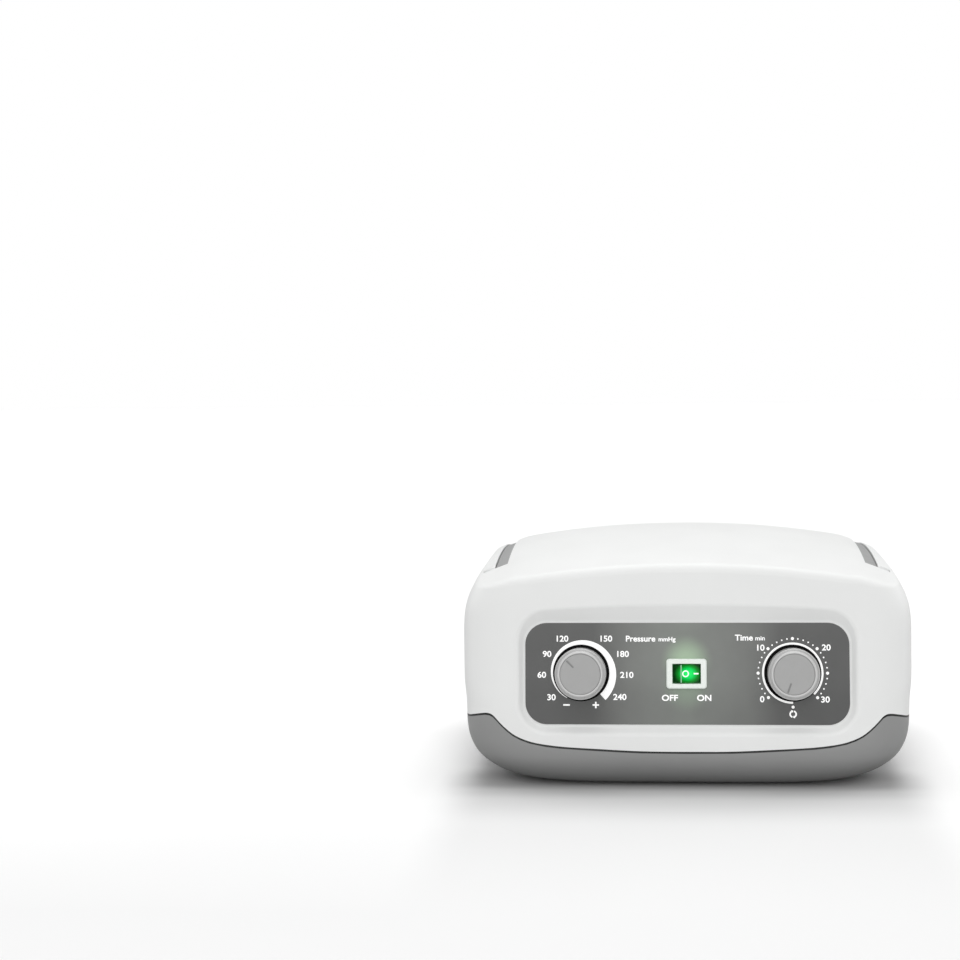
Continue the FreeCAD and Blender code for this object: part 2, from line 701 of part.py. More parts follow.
for rear in (True, False):
    for r in (0.7, 0.5, 0.35):
        try:
            t = handle.makeFillet(r, u_edges(handle, rear))
            if t.isValid() and 0 < handle.Volume - t.Volume < 60:
                handle = t.Solids[0]
                print("handle edge radius", r, "rear" if rear else "inner")
                break
        except Exception as err:
            print("handle edge radius", r, "not made:", err)
feature("carry_handle", handle)

u_lining = u_prism(CH_X0 + 0.1, VAL["arm_out"] - 0.4, CH_F + 0.1, CH_B + 0.1, CH_R - 0.1, 20.4, 12.0, 95.0, 140.0)
u_floor = u_lining.fuse(scoop(-0.1)).cut(below(THK + 2.5)).cut(above(THK + 0.6))
u_strip = u_prism(CH_X0 + 0.1, VAL["arm_in"] - 0.5, CH_F + 0.1, CH_B + 0.1, VAL["bar_front"] - 0.5, 12.5, 12.0, 95.0, 140.0)
u_strip = u_strip.cut(scoop(-0.1)).cut(below(THK + 2.5)).cut(above(1.3))
well = scoop(-0.1).cut(scoop(-1.7)).cut(below(THK + 2.5)).cut(above(1.3)).cut(box(-60, 60, VAL["bar_front"] - 0.5, 90, 90, 140))
lining = u_floor.fuse([u_strip, well]).removeSplitter()
lining = lining.cut(pivot_boxes(VAL["arm_in"] - 0.5, 112.0, CH_F, -35.0, 90.0, 120.0))
lining = lining.cut([cyl(VAL["pin_r"], (s * 96.6, PY, PZ), (s, 0, 0), 12.0) for s in (-1, 1)])
solids = sorted(lining.Solids, key=lambda q: -q.Volume)
print("lining solids", [round(q.Volume) for q in solids])
feature("handle_channel_lining", solids[0])

stop = box(103.1, 109.1, CH_F + 0.1, PY - FOOT_R - 0.5, PZ - FOOT_R - 0.95, 130.0).cut(above(0.9))
feature("handle_stops", Part.makeCompound([q for half in both(stop) for q in half.Solids]))

pins = []
for s in (-1, 1):
    c = pcyl(D("pin_r"), 13.8, "Pin")
    place(c, s * 97.2, D("pin_y"), D("pin_z"), (0, 1, 0), 90.0 * s)
    pins.append(c)
fuse_all(pins, "handle_pins")

# ------------------------------------------------------------------ control label
b = new_body("control_label")
s = sketch(b)
rect(s, D("label_w"), D("label_h"), 0.0, D("label_mid"))
pad(b, s, D("label_thk"), down=True)
fillet(b, D("label_r"), along_z)
s = sketch(b)
circle(s, D("shaft_hole_r"), -D("knob_x"), 0.0)
circle(s, D("shaft_hole_r"), D("knob_x"), 0.0)
rect(s, D("switch_w") + 0.2, D("switch_ht") + 0.2, 0.0, -0.3)
pocket(b, s, 2.0)
on_panel(b)

b = new_body("knob_washers")
b.AllowCompound = True
s = sketch(b)
for side in (-1.0, 1.0):
    circle(s, D("washer_r"), D("knob_x") * side, 0.0)
    circle(s, D("shaft_r") + 2.0, D("knob_x") * side, 0.0)
pad(b, s, D("washer_thk"))
on_panel(b)

# ------------------------------------------------------------------ knobs: moulded grip, spun metal disc, shaft
ANGLE = {"pressure": 135.0, "timer": 250.0}
for which, side in (("pressure", -1.0), ("timer", 1.0)):
    kx = D("knob_x") * side
    b = new_body(which + "_knob")
    top, base, kr, fr = D("knob_top"), D("knob_base"), D("knob_r"), D("face_r")
    revolve(b, [(D("shaft_r") + 0.02, base), (kr, base), (kr, top - 3.6), (kr - 0.35, top - 2.6), (kr - 1.9, top - 0.45),
                (kr - 2.45, top), (fr, top), (fr, top - 0.5), (2.0, top - 0.5), (2.0, top - 3.2), (D("shaft_r") + 0.02, top - 3.2)])
    on_panel(b, kx)

    b = new_body(which + "_knob_disc")
    dr = D("disc_r")
    revolve(b, [(0.0, top - 0.5), (dr, top - 0.5), (dr, top - 0.1), (dr - 0.35, top + 0.25), (dr - 0.8, top + 0.25),
                (dr - 1.0, top + 0.1), (0.0, top + 0.1)])
    s = sketch(b, "XY", top + 0.4)
    rect(s, 4.6, 0.5, 7.4, 0.0)
    pocket(b, s, 0.6)
    on_panel(b, kx)
    t = math.radians(VAL["tilt"])
    turn = FreeCAD.Rotation(V3(0, 0, 1), ANGLE[which])
    b.Placement = FreeCAD.Placement(b.Placement.Base, FreeCAD.Rotation(V3(1, 0, 0), 90.0 - VAL["tilt"]).multiply(turn))

    b = new_body(which + "_knob_shaft")
    s = sketch(b, "XY", -D("shaft_in"))
    circle(s, D("shaft_r"))
    pad(b, s, D("shaft_in") + top - 3.4)
    s = sketch(b, "XY", top - 3.4)
    rect(s, 8.0, 3.0, 0.0, D("shaft_r") + 0.9)
    pocket(b, s, 6.5)
    on_panel(b, kx)

# ------------------------------------------------------------------ lit rocker switch
b = new_body("switch_housing")
s = sketch(b)
rect(s, D("bezel_w"), D("bezel_ht"), 0.0, -0.3)
pad(b, s, D("bezel_thk"))
fillet(b, 1.6, along_z)
chamfer(b, 0.5, lambda e: e.CenterOfMass.z > 1.8 and len(e.Vertexes) == 2)
s = sketch(b)
rect(s, D("switch_w"), D("switch_ht"), 0.0, -0.3)
pad(b, s, D("switch_deep"), down=True)
s = sketch(b, "XY", D("bezel_thk"))
rect(s, D("rocker_w") + 0.5, D("rocker_ht") + 0.5, 0.0, -0.3)
pocket(b, s, D("bezel_thk") + 9.0)
s = sketch(b, "XY", -9.0)
rect(s, D("switch_w") - 1.2, D("rocker_ht") + 0.5, 0.0, -0.3)
pocket(b, s, 8.6, up=True)
on_panel(b)

# the rocker turns about a pin across the housing; its ends are arcs about that pin, its face is a shallow V
ROCK_R, ROCK_N, ROCK_TILT = 9.0, -5.6, -11.0
outline = [(ROCK_R, a) for a in (154.1, 147.0, 140.0, 133.5, 126.87)] + [(6.3, 90.0)] + [(ROCK_R, a) for a in (53.13, 46.5, 40.0, 33.0, 25.9)]
outline += [(4.8, 18.0), (4.8, 162.0)]
pts = [(r_ * math.cos(math.radians(a + ROCK_TILT)), ROCK_N + r_ * math.sin(math.radians(a + ROCK_TILT))) for r_, a in outline]
b = new_body("power_rocker")
s = sketch(b, "XZ", -(D("rocker_ht") / 2) + 0.3)
poly(s, pts)
pad(b, s, D("rocker_ht"))
s = sketch(b, "XZ", -(D("rocker_ht") / 2) + 0.3)
circle(s, 2.4, 0.0, ROCK_N)
pad(b, s, D("rocker_ht"))
on_panel(b)

b = new_body("switch_terminals")
s = sketch(b, "XY", -D("switch_deep"))
for tx in (-6.0, 0.0, 6.0):
    rect(s, 0.8, 4.8, tx, -0.3)
pad(b, s, 7.5, down=True)
on_panel(b)

# ------------------------------------------------------------------ pressure regulator behind the left knob
b = new_body("regulator_body")
revolve(b, [(D("shaft_r") + 0.5, -3.2), (13.0, -3.2), (13.0, -9.0), (15.0, -9.0), (15.0, -27.0), (12.0, -31.0), (0.0, -31.0),
            (0.0, -29.0), (9.0, -29.0), (9.0, -10.6), (D("shaft_r") + 0.5, -10.6)])
s = sketch(b, "XZ", -20.0)
circle(s, 3.0, 0.0, -20.0)
p = pad(b, s, 7.0, down=False)
on_panel(b, -D("knob_x"))

b = new_body("regulator_plunger")
revolve(b, [(0.0, -12.2), (8.6, -12.2), (8.6, -15.0), (4.0, -15.0), (4.0, -17.0), (0.0, -17.0)])
on_panel(b, -D("knob_x"))

helix = Part.makeHelix(2.1, 12.6, 6.0)
# the wire's section is a regular twelve-sided one
corners = [V3(6.0 + 0.46 * math.cos(math.radians(30 * q + 15)), 0, 0.46 * math.sin(math.radians(30 * q + 15))) for q in range(12)]
coil = Part.Wire(helix).makePipeShell([Part.makePolygon(corners + corners[:1])], True, True)
o = feature("regulator_spring", coil)
o.Placement = panel_placement(-VAL["knob_x"], 0.0, -28.3)

# ------------------------------------------------------------------ clockwork timer behind the right knob
b = new_body("timer_body")
s = sketch(b, "XY", -3.2)
rect(s, 34.0, 34.0)
pad(b, s, 26.0, down=True)
fillet(b, 3.0, along_z)
s = sketch(b, "XY", -29.2)
rect(s, 22.0, 6.0, 0.0, -9.0)
pad(b, s, 2.5, down=True)
s = sketch(b, "XY", -3.2)
circle(s, D("shaft_r") + 0.5)
pocket(b, s, 7.0)
on_panel(b, D("knob_x"))

# ------------------------------------------------------------------ feet and case screws
def four(x, y):
    return [(x * sx, y * sy) for sx, sy in ((-1, -1), (1, -1), (1, 1), (-1, 1))]


def group(label):
    """A node of several alike pieces."""
    b = new_body(label)
    b.AllowCompound = True
    return b


b = group("rubber_feet")
s = sketch(b)
for px, py in four(D("foot_x"), D("foot_y")):
    circle(s, D("foot_r"), px, py)
pad(b, s, D("foot_ht") - 0.3)
chamfer(b, 0.9, lambda e: e.BoundBox.ZMax < 0.01)

b = group("case_screws")
s = sketch(b, "XY", 10.9)
for px, py in four(D("screw_x"), D("screw_y")):
    circle(s, 3.6, px, py)
pad(b, s, 3.1)
s = sketch(b, "XY", 13.9)
for px, py in four(D("screw_x"), D("screw_y")):
    circle(s, 1.45, px, py)
pad(b, s, 24.0)
s = sketch(b, "XY", 10.9)
for px, py in four(D("screw_x"), D("screw_y")):
    rect(s, 3.6, 0.9, px, py)
pocket(b, s, 1.6, up=True)
s = sketch(b, "XY", 10.9)
for px, py in four(D("screw_x"), D("screw_y")):
    rect(s, 0.9, 3.6, px, py)
pocket(b, s, 1.6, up=True)

# ------------------------------------------------------------------ rear panel and what it carries
def on_rear(obj, x=0.0, y=None, z=None):
    """Own x runs across (to the left seen from behind), own y up, own z out of the rear face."""
    y = D("rpan_y") + D("rpan_thk") if y is None else y
    z = D("rpan_z") if z is None else z
    place(obj, x, y, z)
    obj.Placement = FreeCAD.Placement(obj.Placement.Base, FreeCAD.Rotation(V3(1, 0, 0), V3(0, 0, 1), V3(0, -1, 0), "XYZ"))
    return obj


# in this frame: local x = X, local y = Z, local z = -Y, so outward is negative local z
b = new_body("rear_panel")
s = sketch(b)
rect(s, D("rpan_w"), D("rpan_ht"))
pad(b, s, D("rpan_thk"))
fillet(b, 5.0, along_z)
s = sketch(b)
rect(s, 27.4, 20.2, -58.0, 0.0)
circle(s, 6.1, -26.0, 8.0)
circle(s, 6.1, -26.0, -8.0)
rect(s, 64.0, 16.0, D("valve_x"), D("outlet_z") - D("rpan_z"))
pocket(b, s, 5.0, up=True)
s = sketch(b)
for sx in (-1, 1):
    for sy in (-1, 1):
        circle(s, 1.6, 80.0 * sx, 21.0 * sy)
pocket(b, s, 5.0, up=True)
on_rear(b)

b = group("rear_panel_screws")
s = sketch(b)
for sx in (-1, 1):
    for sy in (-1, 1):
        circle(s, 2.7, 80.0 * sx, 21.0 * sy)
pad(b, s, 1.6, down=True)
s = sketch(b)
for sx in (-1, 1):
    for sy in (-1, 1):
        circle(s, 1.2, 80.0 * sx, 21.0 * sy)
pad(b, s, 10.0)
for w_, h_ in ((3.0, 0.7), (0.7, 3.0)):
    s = sketch(b, "XY", -1.6)
    for sx in (-1, 1):
        for sy in (-1, 1):
            rect(s, w_, h_, 80.0 * sx, 21.0 * sy)
    pocket(b, s, 1.0, up=True)
on_rear(b)

b = new_body("mains_inlet")
s = sketch(b)
rect(s, 30.6, 23.6)
pad(b, s, 2.2, down=True)
fillet(b, 2.5, along_z)
s = sketch(b)
rect(s, 27.0, 19.8)
pad(b, s, 17.0)
s = sketch(b, "XY", -2.2)
poly(s, [(-12.0, -8.2), (12.0, -8.2), (12.0, 3.6), (7.6, 8.2), (-7.6, 8.2), (-12.0, 3.6)])
pocket(b, s, 16.2, up=True)
s = sketch(b, "XY", 12.0)
for px, py in ((-7.0, -2.0), (7.0, -2.0), (0.0, 2.0)):
    rect(s, 2.02, 4.02, px, py)
pocket(b, s, 8.0, up=True)
on_rear(b, -58.0)

b = group("inlet_pins")
s = sketch(b, "XY", 1.2)
rect(s, 2.0, 4.0, -7.0, -2.0)
rect(s, 2.0, 4.0, 7.0, -2.0)
rect(s, 2.0, 4.0, 0.0, 2.0)
pad(b, s, 22.0)
on_rear(b, -58.0)

b = group("fuse_holders")
s = sketch(b)
for y_ in (-8.0, 8.0):
    circle(s, 7.2, 0.0, y_)
pad(b, s, 2.4, down=True)
chamfer(b, 0.6, lambda e: e.CenterOfMass.z < -2.3)
s = sketch(b)
for y_ in (-8.0, 8.0):
    circle(s, 6.0, 0.0, y_)
pad(b, s, 26.0)
s = sketch(b, "XY", -2.4)
for y_ in (-8.0, 8.0):
    rect(s, 8.0, 1.4, 0.0, y_)
pocket(b, s, 1.2, up=True)
on_rear(b, -26.0)

b = new_body("outlet_manifold")
fl = D("rpan_y") + D("rpan_thk")
s = sketch(b)
rect(s, 70.0, 22.0)
pad(b, s, 2.0, down=True)
fillet(b, 5.0, along_z)
s = sketch(b)
rect(s, 63.6, 15.6)
pad(b, s, 8.0)
OUTLET = [-1.5, -0.5, 0.5, 1.5]
s = sketch(b, "XY", -(D("outlet_tip_y") - fl))
for q in OUTLET:
    circle(s, D("outlet_tube_r"), D("outlet_pitch") * q, 0.0)
pad(b, s, (D("outlet_tip_y") - fl) - 1.0)
chamfer(b, 0.8, lambda e: e.CenterOfMass.z < -6.2)
s = sketch(b, "XY", 8.0)
for q in OUTLET:
    circle(s, 3.0, D("outlet_pitch") * q, 0.0)
pad(b, s, 9.0)
s = sketch(b, "XY", -(D("outlet_tip_y") - fl))
for q in OUTLET:
    circle(s, D("outlet_bore_r"), D("outlet_pitch") * q, 0.0)
pocket(b, s, (D("outlet_tip_y") - fl) + 17.0, up=True)
on_rear(b, D("valve_x"), None, D("outlet_z"))

# ------------------------------------------------------------------ linear diaphragm air pump
def at_pump(obj, dx=0.0, dy=0.0, dz=0.0):
    return place(obj, Q.of(dx), D("pump_y") + dy, D("pump_z") + dz)


b = new_body("pump_bracket")
s = sketch(b, "XY", -31.0)
rect(s, 134.0, 54.0)
pad(b, s, 4.0)
for sx in (-1, 1):
    s = sketch(b, "YZ", sx * 57.0 - 1.0)
    rect(s, 54.0, 56.0, 0.0, -1.0)
    pad(b, s, 2.0)
s = sketch(b, "YZ", -70.0)
circle(s, 21.0, 0.0, 0.0)
pocket(b, s, 140.0, up=True)
s = sketch(b, "XY", -32.0)
for px, py in ((-48.0, -22.0), (48.0, -22.0), (48.0, 22.0), (-48.0, 22.0)):
    circle(s, 2.2, px, py)
pocket(b, s, 6.0, up=True)
at_pump(b)

b = group("pump_core")
for sz in (-1, 1):
    s = sketch(b, "XZ", -14.0)
    poly(s, [(-36.0, sz * 27.0), (36.0, sz * 27.0), (36.0, sz * 8.5), (28.0, sz * 8.5), (28.0, sz * 19.0), (7.0, sz * 19.0),
             (7.0, sz * 8.5), (-7.0, sz * 8.5), (-7.0, sz * 19.0), (-28.0, sz * 19.0), (-28.0, sz * 8.5), (-36.0, sz * 8.5)])
    pad(b, s, 28.0)
at_pump(b)

b = group("pump_coils")
for sz in (-1, 1):
    s = sketch(b, "XY", 9.0 if sz > 0 else -18.6)
    rect(s, 40.0, 54.0)
    rect(s, 14.6, 28.6)
    pad(b, s, 9.6)
at_pump(b)

b = new_body("pump_armature")
s = sketch(b, "YZ", -58.2)
circle(s, D("pump_rod_r"))
pad(b, s, 116.4)
s = sketch(b, "YZ", -24.0)
rect(s, 26.0, 13.0)
pad(b, s, 48.0)
for sx in (-1, 1):
    s = sketch(b, "YZ", sx * 52.0 - 1.0)
    circle(s, 9.0)
    pad(b, s, 2.0)
at_pump(b)

b = group("pump_diaphragms")
for sx in (-1, 1):
    s = sketch(b, "YZ", sx * 60.2 - 2.0)
    circle(s, 25.5)
    pad(b, s, 4.0)
at_pump(b)

b = group("pump_heads")
for sx in (-1, 1):
    s = sketch(b, "YZ", sx * 69.4 - 7.0)
    rect(s, 53.0, 54.0)
    pad(b, s, 14.0)
    s = sketch(b, "XY", 26.0)
    circle(s, 3.0, sx * 69.4, 0.0)
    pad(b, s, 10.0)
at_pump(b)

b = group("pump_isolators")
s = sketch(b, "XY", 8.1)
for px, py in ((-48.0, -22.0), (48.0, -22.0), (48.0, 22.0), (-48.0, 22.0)):
    circle(s, 5.0, px, py + D("pump_y"))
pad(b, s, 2.8)
s = sketch(b, "XY", 15.1)
for px, py in ((-48.0, -22.0), (48.0, -22.0), (48.0, 22.0), (-48.0, 22.0)):
    circle(s, 3.6, px, py + D("pump_y"))
pad(b, s, 1.6)
s = sketch(b, "XY", 10.8)
for px, py in ((-48.0, -22.0), (48.0, -22.0), (48.0, 22.0), (-48.0, 22.0)):
    circle(s, 2.15, px, py + D("pump_y"))
pad(b, s, 4.4)

# ------------------------------------------------------------------ rotary air distributor with its motor
b = new_body("valve_motor")
s = sketch(b, "XY", 16.1)
circle(s, D("valve_r"))
pad(b, s, 16.0)
s = sketch(b, "XY", 16.1)
rect(s, 68.0, 12.0)
pad(b, s, 1.6)
s = sketch(b, "XY", 32.1)
circle(s, 4.0)
pocket(b, s, 8.0)
place(b, D("valve_x"), D("valve_y"), 0.0)

b = new_body("valve_rotor")
revolve(b, [(0.0, 25.5), (2.5, 25.5), (2.5, 40.0), (19.4, 40.0), (19.4, 46.6), (0.0, 46.6)])
s = sketch(b, "XY", 46.6)
circle(s, 3.0, 12.0, 0.0)
pocket(b, s, 4.0)
place(b, D("valve_x"), D("valve_y"), 0.0)

b = new_body("valve_body")
revolve(b, [(20.0, 32.1), (D("valve_r"), 32.1), (D("valve_r"), 56.0), (0.0, 56.0), (0.0, 47.0), (20.0, 47.0)])
s = sketch(b, "XY", 56.0)
for q in OUTLET:
    circle(s, 3.0, 11.0 * q, 0.0)
pad(b, s, 8.0)
s = sketch(b, "XY", 64.0)
for q in OUTLET:
    circle(s, 1.8, 11.0 * q, 0.0)
pocket(b, s, 12.0)
s = sketch(b, "XZ", 0.0)
circle(s, 3.0, 0.0, 51.5)
p = pad(b, s, D("valve_r") + 8.0)
place(b, D("valve_x"), D("valve_y"), 0.0)

# ------------------------------------------------------------------ circuit board
b = new_body("circuit_board")
s = sketch(b, "XY", 18.1)
rect(s, 68.0, 44.0, -50.0, 46.0)
pad(b, s, 1.6)
s = sketch(b, "XY", 18.0)
for px, py in BOARD:
    circle(s, 1.5, px, py)
pocket(b, s, 3.0, up=True)

comps = [pbox(-78.0, 35.0, 19.7, 30.0, 26.0, 24.0), pbox(-42.0, 50.0, 19.7, 19.0, 14.0, 15.0), pbox(-44.0, 27.0, 19.7, 22.0, 8.0, 12.0)]
c = pcyl(6.0, 22.0)
place(c, -36.0, 42.5, 19.7)
comps.append(c)
fuse_all(comps, "board_components")


# ------------------------------------------------------------------ hoses and wiring, straight runs joined by tangent arcs
def route(points, radii):
    """Edges through the corner points, each corner rounded by an arc of its radius."""
    pts = [V3(*p) for p in points]
    edges, start = [], pts[0]
    for k in range(1, len(pts) - 1):
        a, b_, c_ = pts[k - 1], pts[k], pts[k + 1]
        u = (a - b_).normalize()
        v = (c_ - b_).normalize()
        half = math.acos(max(-1.0, min(1.0, u.dot(v)))) / 2
        r_ = radii[k - 1]
        d = r_ / math.tan(half)
        p0, p1 = b_ + u * d, b_ + v * d
        mid_dir = (u + v).normalize()
        centre = b_ + mid_dir * (r_ / math.sin(half))
        edges.append(Part.LineSegment(start, p0).toShape())
        edges.append(Part.Arc(p0, centre - mid_dir * r_, p1).toShape())
        start = p1
    edges.append(Part.LineSegment(start, pts[-1]).toShape())
    return Part.Wire(edges)


def tube(points, radii, r_out, r_in=0.0):
    path = route(points, radii)
    first = path.Edges[0]
    d = (first.Vertexes[1].Point - first.Vertexes[0].Point).normalize()
    origin = V3(*points[0])
    if (first.Vertexes[0].Point - origin).Length > 1e-6:
        d = d * -1
    out = path.makePipeShell([Part.Wire([Part.makeCircle(r_out, origin, d)])], True, False)
    want = math.pi * r_out ** 2 * path.Length
    if abs(out.Volume - want) > 0.02 * want:
        raise RuntimeError("tube volume is off: %.0f for %.0f" % (out.Volume, want))
    if r_in:
        out = out.cut(path.makePipeShell([Part.Wire([Part.makeCircle(r_in, origin, d)])], True, False))
    return out


VX, VY = VAL["valve_x"], VAL["valve_y"]
OZ = VAL["outlet_z"]
oy = VAL["rpan_y"] + VAL["rpan_thk"] - 8.2
hoses = []
for q in OUTLET:
    x0, x1 = VX + VAL["outlet_pitch"] * q, VX + 11.0 * q
    hoses.append(tube([(x0, oy, OZ), (x0, oy - 12, OZ), (x1, VY, OZ + 9), (x1, VY, 56.2)], [12.0, 9.0], 4.0, 3.02))
feature("outlet_hoses", Part.makeCompound(hoses))
PYC, PZC = VAL["pump_y"], VAL["pump_z"]
feature("supply_hose",
        tube([(69.4, PYC, PZC + 27.2), (69.4, PYC, PZC + 44), (VX, 5.0, PZC + 44), (VX, 5.0, 51.5), (VX, VY - 24.2, 51.5)],
             [8.0, 8.0, 8.0], 4.0, 3.02))
t = math.radians(VAL["tilt"])
reg = panel_placement(-VAL["knob_x"], 0.0, 0.0)
r0 = reg.multVec(V3(0, 20.4, -20.0))
r1 = reg.multVec(V3(0, 36.0, -20.0))
feature("regulator_hose", tube([(r0.x, r0.y, r0.z), (r1.x, r1.y, r1.z), (-69.4, PYC, PZC + 50), (-69.4, PYC, PZC + 27.2)], [10.0, 10.0], 4.0, 3.02))
feature("wiring_harness", tube([(-58.0, 70.3, 68.0), (-58.0, 54.0, 68.0), (-40.0, 30.0, 88.0), (-12.0, -30.0, 88.0), (0.0, -52.0, 60.0), (0.0, -60.5, 57.5)],
                               [12.0, 24.0, 24.0, 12.0], 2.6))

doc.recompute()
bad = []
for o in doc.Objects:
    if "Invalid" in o.State or "Error" in o.State:
        bad.append("%s is %s" % (o.Name, o.State))
for label in nodes:
    s = nodes[label].Shape
    if s.isNull() or not s.isValid() or s.Volume <= 0:
        bad.append(label + " has no valid shape")
    bb = s.BoundBox
    print("%-24s solids %d volume %8.0f  x %.1f..%.1f y %.1f..%.1f z %.1f..%.1f" % (label, len(s.Solids), s.Volume, bb.XMin, bb.XMax, bb.YMin, bb.YMax, bb.ZMin, bb.ZMax))
if bad:
    raise RuntimeError("; ".join(bad))
os.makedirs("parts", exist_ok=True)
for label in nodes:
    nodes[label].Shape.exportStep("parts/%s.step" % label)
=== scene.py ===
import math

import bmesh
import bpy
from mathutils import Matrix, Vector


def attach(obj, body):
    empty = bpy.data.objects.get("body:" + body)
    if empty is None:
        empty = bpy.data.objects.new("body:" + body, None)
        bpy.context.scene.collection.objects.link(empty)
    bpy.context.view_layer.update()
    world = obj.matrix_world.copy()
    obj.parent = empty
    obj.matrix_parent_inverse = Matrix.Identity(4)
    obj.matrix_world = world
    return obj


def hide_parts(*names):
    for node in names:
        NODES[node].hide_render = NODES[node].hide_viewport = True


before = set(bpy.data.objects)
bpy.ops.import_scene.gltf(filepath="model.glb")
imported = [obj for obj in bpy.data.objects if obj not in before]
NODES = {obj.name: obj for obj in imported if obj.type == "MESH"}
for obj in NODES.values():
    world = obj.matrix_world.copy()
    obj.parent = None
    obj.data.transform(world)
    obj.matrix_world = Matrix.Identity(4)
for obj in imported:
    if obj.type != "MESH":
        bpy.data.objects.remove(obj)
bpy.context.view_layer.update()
MM = 0.001

# ------------------------------------------------------------------ the control panel's own frame
TILT = math.radians(7.0)
U = Vector((0.0, math.sin(TILT), math.cos(TILT)))
N = Vector((0.0, -math.cos(TILT), math.sin(TILT)))
ORIGIN = Vector((0.0, -86.3 * MM, 60.0 * MM))
PANEL = Matrix((
    (1.0, U.x, N.x, ORIGIN.x),
    (0.0, U.y, N.y, ORIGIN.y),
    (0.0, U.z, N.z, ORIGIN.z),
    (0.0, 0.0, 0.0, 1.0),
))


def on_panel(x=0.0, v=0.0, n=0.0, turn=0.0):
    """Matrix of a piece whose own x, y, z run across, up and out of the panel, in mm and degrees."""
    return PANEL @ Matrix.Translation((x * MM, v * MM, n * MM)) @ Matrix.Rotation(math.radians(turn), 4, "Z")


# ------------------------------------------------------------------ node materials
class Mat:
    """One Principled material and short calls to wire procedural nodes to it."""

    def __init__(self, name, base, rough=0.5, metal=0.0, coat=0.0, coat_rough=0.1, ior=1.5, spec=0.5):
        self.m = bpy.data.materials.new(name)
        self.m.use_nodes = True
        self.t = self.m.node_tree
        self.t.nodes.clear()
        self.out = self.t.nodes.new("ShaderNodeOutputMaterial")
        self.p = self.t.nodes.new("ShaderNodeBsdfPrincipled")
        self.t.links.new(self.p.outputs[0], self.out.inputs[0])
        self.p.inputs["Base Color"].default_value = (*base, 1.0)
        self.p.inputs["Roughness"].default_value = rough
        self.p.inputs["Metallic"].default_value = metal
        self.p.inputs["IOR"].default_value = ior
        self.p.inputs["Specular IOR Level"].default_value = spec
        self.p.inputs["Coat Weight"].default_value = coat
        self.p.inputs["Coat Roughness"].default_value = coat_rough
        self.base = base
        self.m.diffuse_color = (*base, 1.0)

    def node(self, kind, **values):
        n = self.t.nodes.new(kind)
        for k, v in values.items():
            if hasattr(n, k):
                setattr(n, k, v)
            else:
                n.inputs[k.replace("_", " ")].default_value = v
        return n

    def link(self, a, b):
        self.t.links.new(a, b)

    def coords(self):
        if not hasattr(self, "_tc"):
            self._tc = self.node("ShaderNodeTexCoord")
        return self._tc.outputs["Object"]

    def noise(self, scale, detail=3.0, rough=0.55, stretch=None):
        n = self.node("ShaderNodeTexNoise")
        n.inputs["Scale"].default_value = scale
        n.inputs["Detail"].default_value = detail
        n.inputs["Roughness"].default_value = rough
        src = self.coords()
        if stretch:
            mp = self.node("ShaderNodeMapping")
            mp.inputs["Scale"].default_value = stretch
            self.link(src, mp.inputs["Vector"])
            src = mp.outputs["Vector"]
        self.link(src, n.inputs["Vector"])
        return n.outputs["Fac"]

    def ramp(self, fac, stops, interpolation="LINEAR"):
        r = self.node("ShaderNodeValToRGB")
        r.color_ramp.interpolation = interpolation
        el = r.color_ramp.elements
        while len(el) > 2:
            el.remove(el[-1])
        for i, (pos, col) in enumerate(stops):
            e = el[i] if i < 2 else el.new(pos)
            e.position = pos
            e.color = (*col, 1.0) if len(col) == 3 else col
        self.link(fac, r.inputs["Fac"])
        return r.outputs["Color"]

    def remap(self, fac, lo, hi, to_lo, to_hi, smooth=False):
        r = self.node("ShaderNodeMapRange")
        r.clamp = True
        if smooth:
            r.interpolation_type = "SMOOTHSTEP"
        for k, v in zip(("From Min", "From Max", "To Min", "To Max"), (lo, hi, to_lo, to_hi)):
            r.inputs[k].default_value = v
        self.link(fac, r.inputs["Value"])
        return r.outputs["Result"]

    def math(self, op, a, b=None, c=None):
        n = self.node("ShaderNodeMath", operation=op)
        for i, q in enumerate((a, b, c)):
            if q is None:
                continue
            if isinstance(q, (int, float)):
                n.inputs[i].default_value = q
            else:
                self.link(q, n.inputs[i])
        return n.outputs[0]

    def axis(self):
        s = self.node("ShaderNodeSeparateXYZ")
        self.link(self.coords(), s.inputs[0])
        return s.outputs

    def radius(self, cx=0.0, cy=0.0, kx=1.0, ky=1.0):
        """Distance from a line along own z through cx, cy."""
        ax = self.axis()
        a = self.math("MULTIPLY", self.math("SUBTRACT", ax[0], cx), kx)
        b = self.math("MULTIPLY", self.math("SUBTRACT", ax[1], cy), ky)
        return self.math("SQRT", self.math("ADD", self.math("MULTIPLY", a, a), self.math("MULTIPLY", b, b)))

    def mix(self, fac, a, b, blend="MIX"):
        n = self.node("ShaderNodeMix")
        n.data_type = "RGBA"
        n.blend_type = blend
        for sock, q in ((n.inputs[0], fac), (n.inputs[6], a), (n.inputs[7], b)):
            if isinstance(q, (int, float)):
                sock.default_value = q
            elif isinstance(q, tuple):
                sock.default_value = (*q, 1.0)
            else:
                self.link(q, sock)
        return n.outputs[2]

    def colour(self, sock):
        self.link(sock, self.p.inputs["Base Color"])
        return self

    def roughness(self, sock):
        self.link(sock, self.p.inputs["Roughness"])
        return self

    def bump(self, sock, strength, distance):
        b = self.node("ShaderNodeBump")
        b.inputs["Strength"].default_value = strength
        b.inputs["Distance"].default_value = distance
        self.link(sock, b.inputs["Height"])
        prev = getattr(self, "_bump", None)
        if prev:
            self.link(prev, b.inputs["Normal"])
        self._bump = b.outputs[0]
        self.link(self._bump, self.p.inputs["Normal"])
        return self


def shade(c, k):
    return tuple(min(1.0, q * k) for q in c)


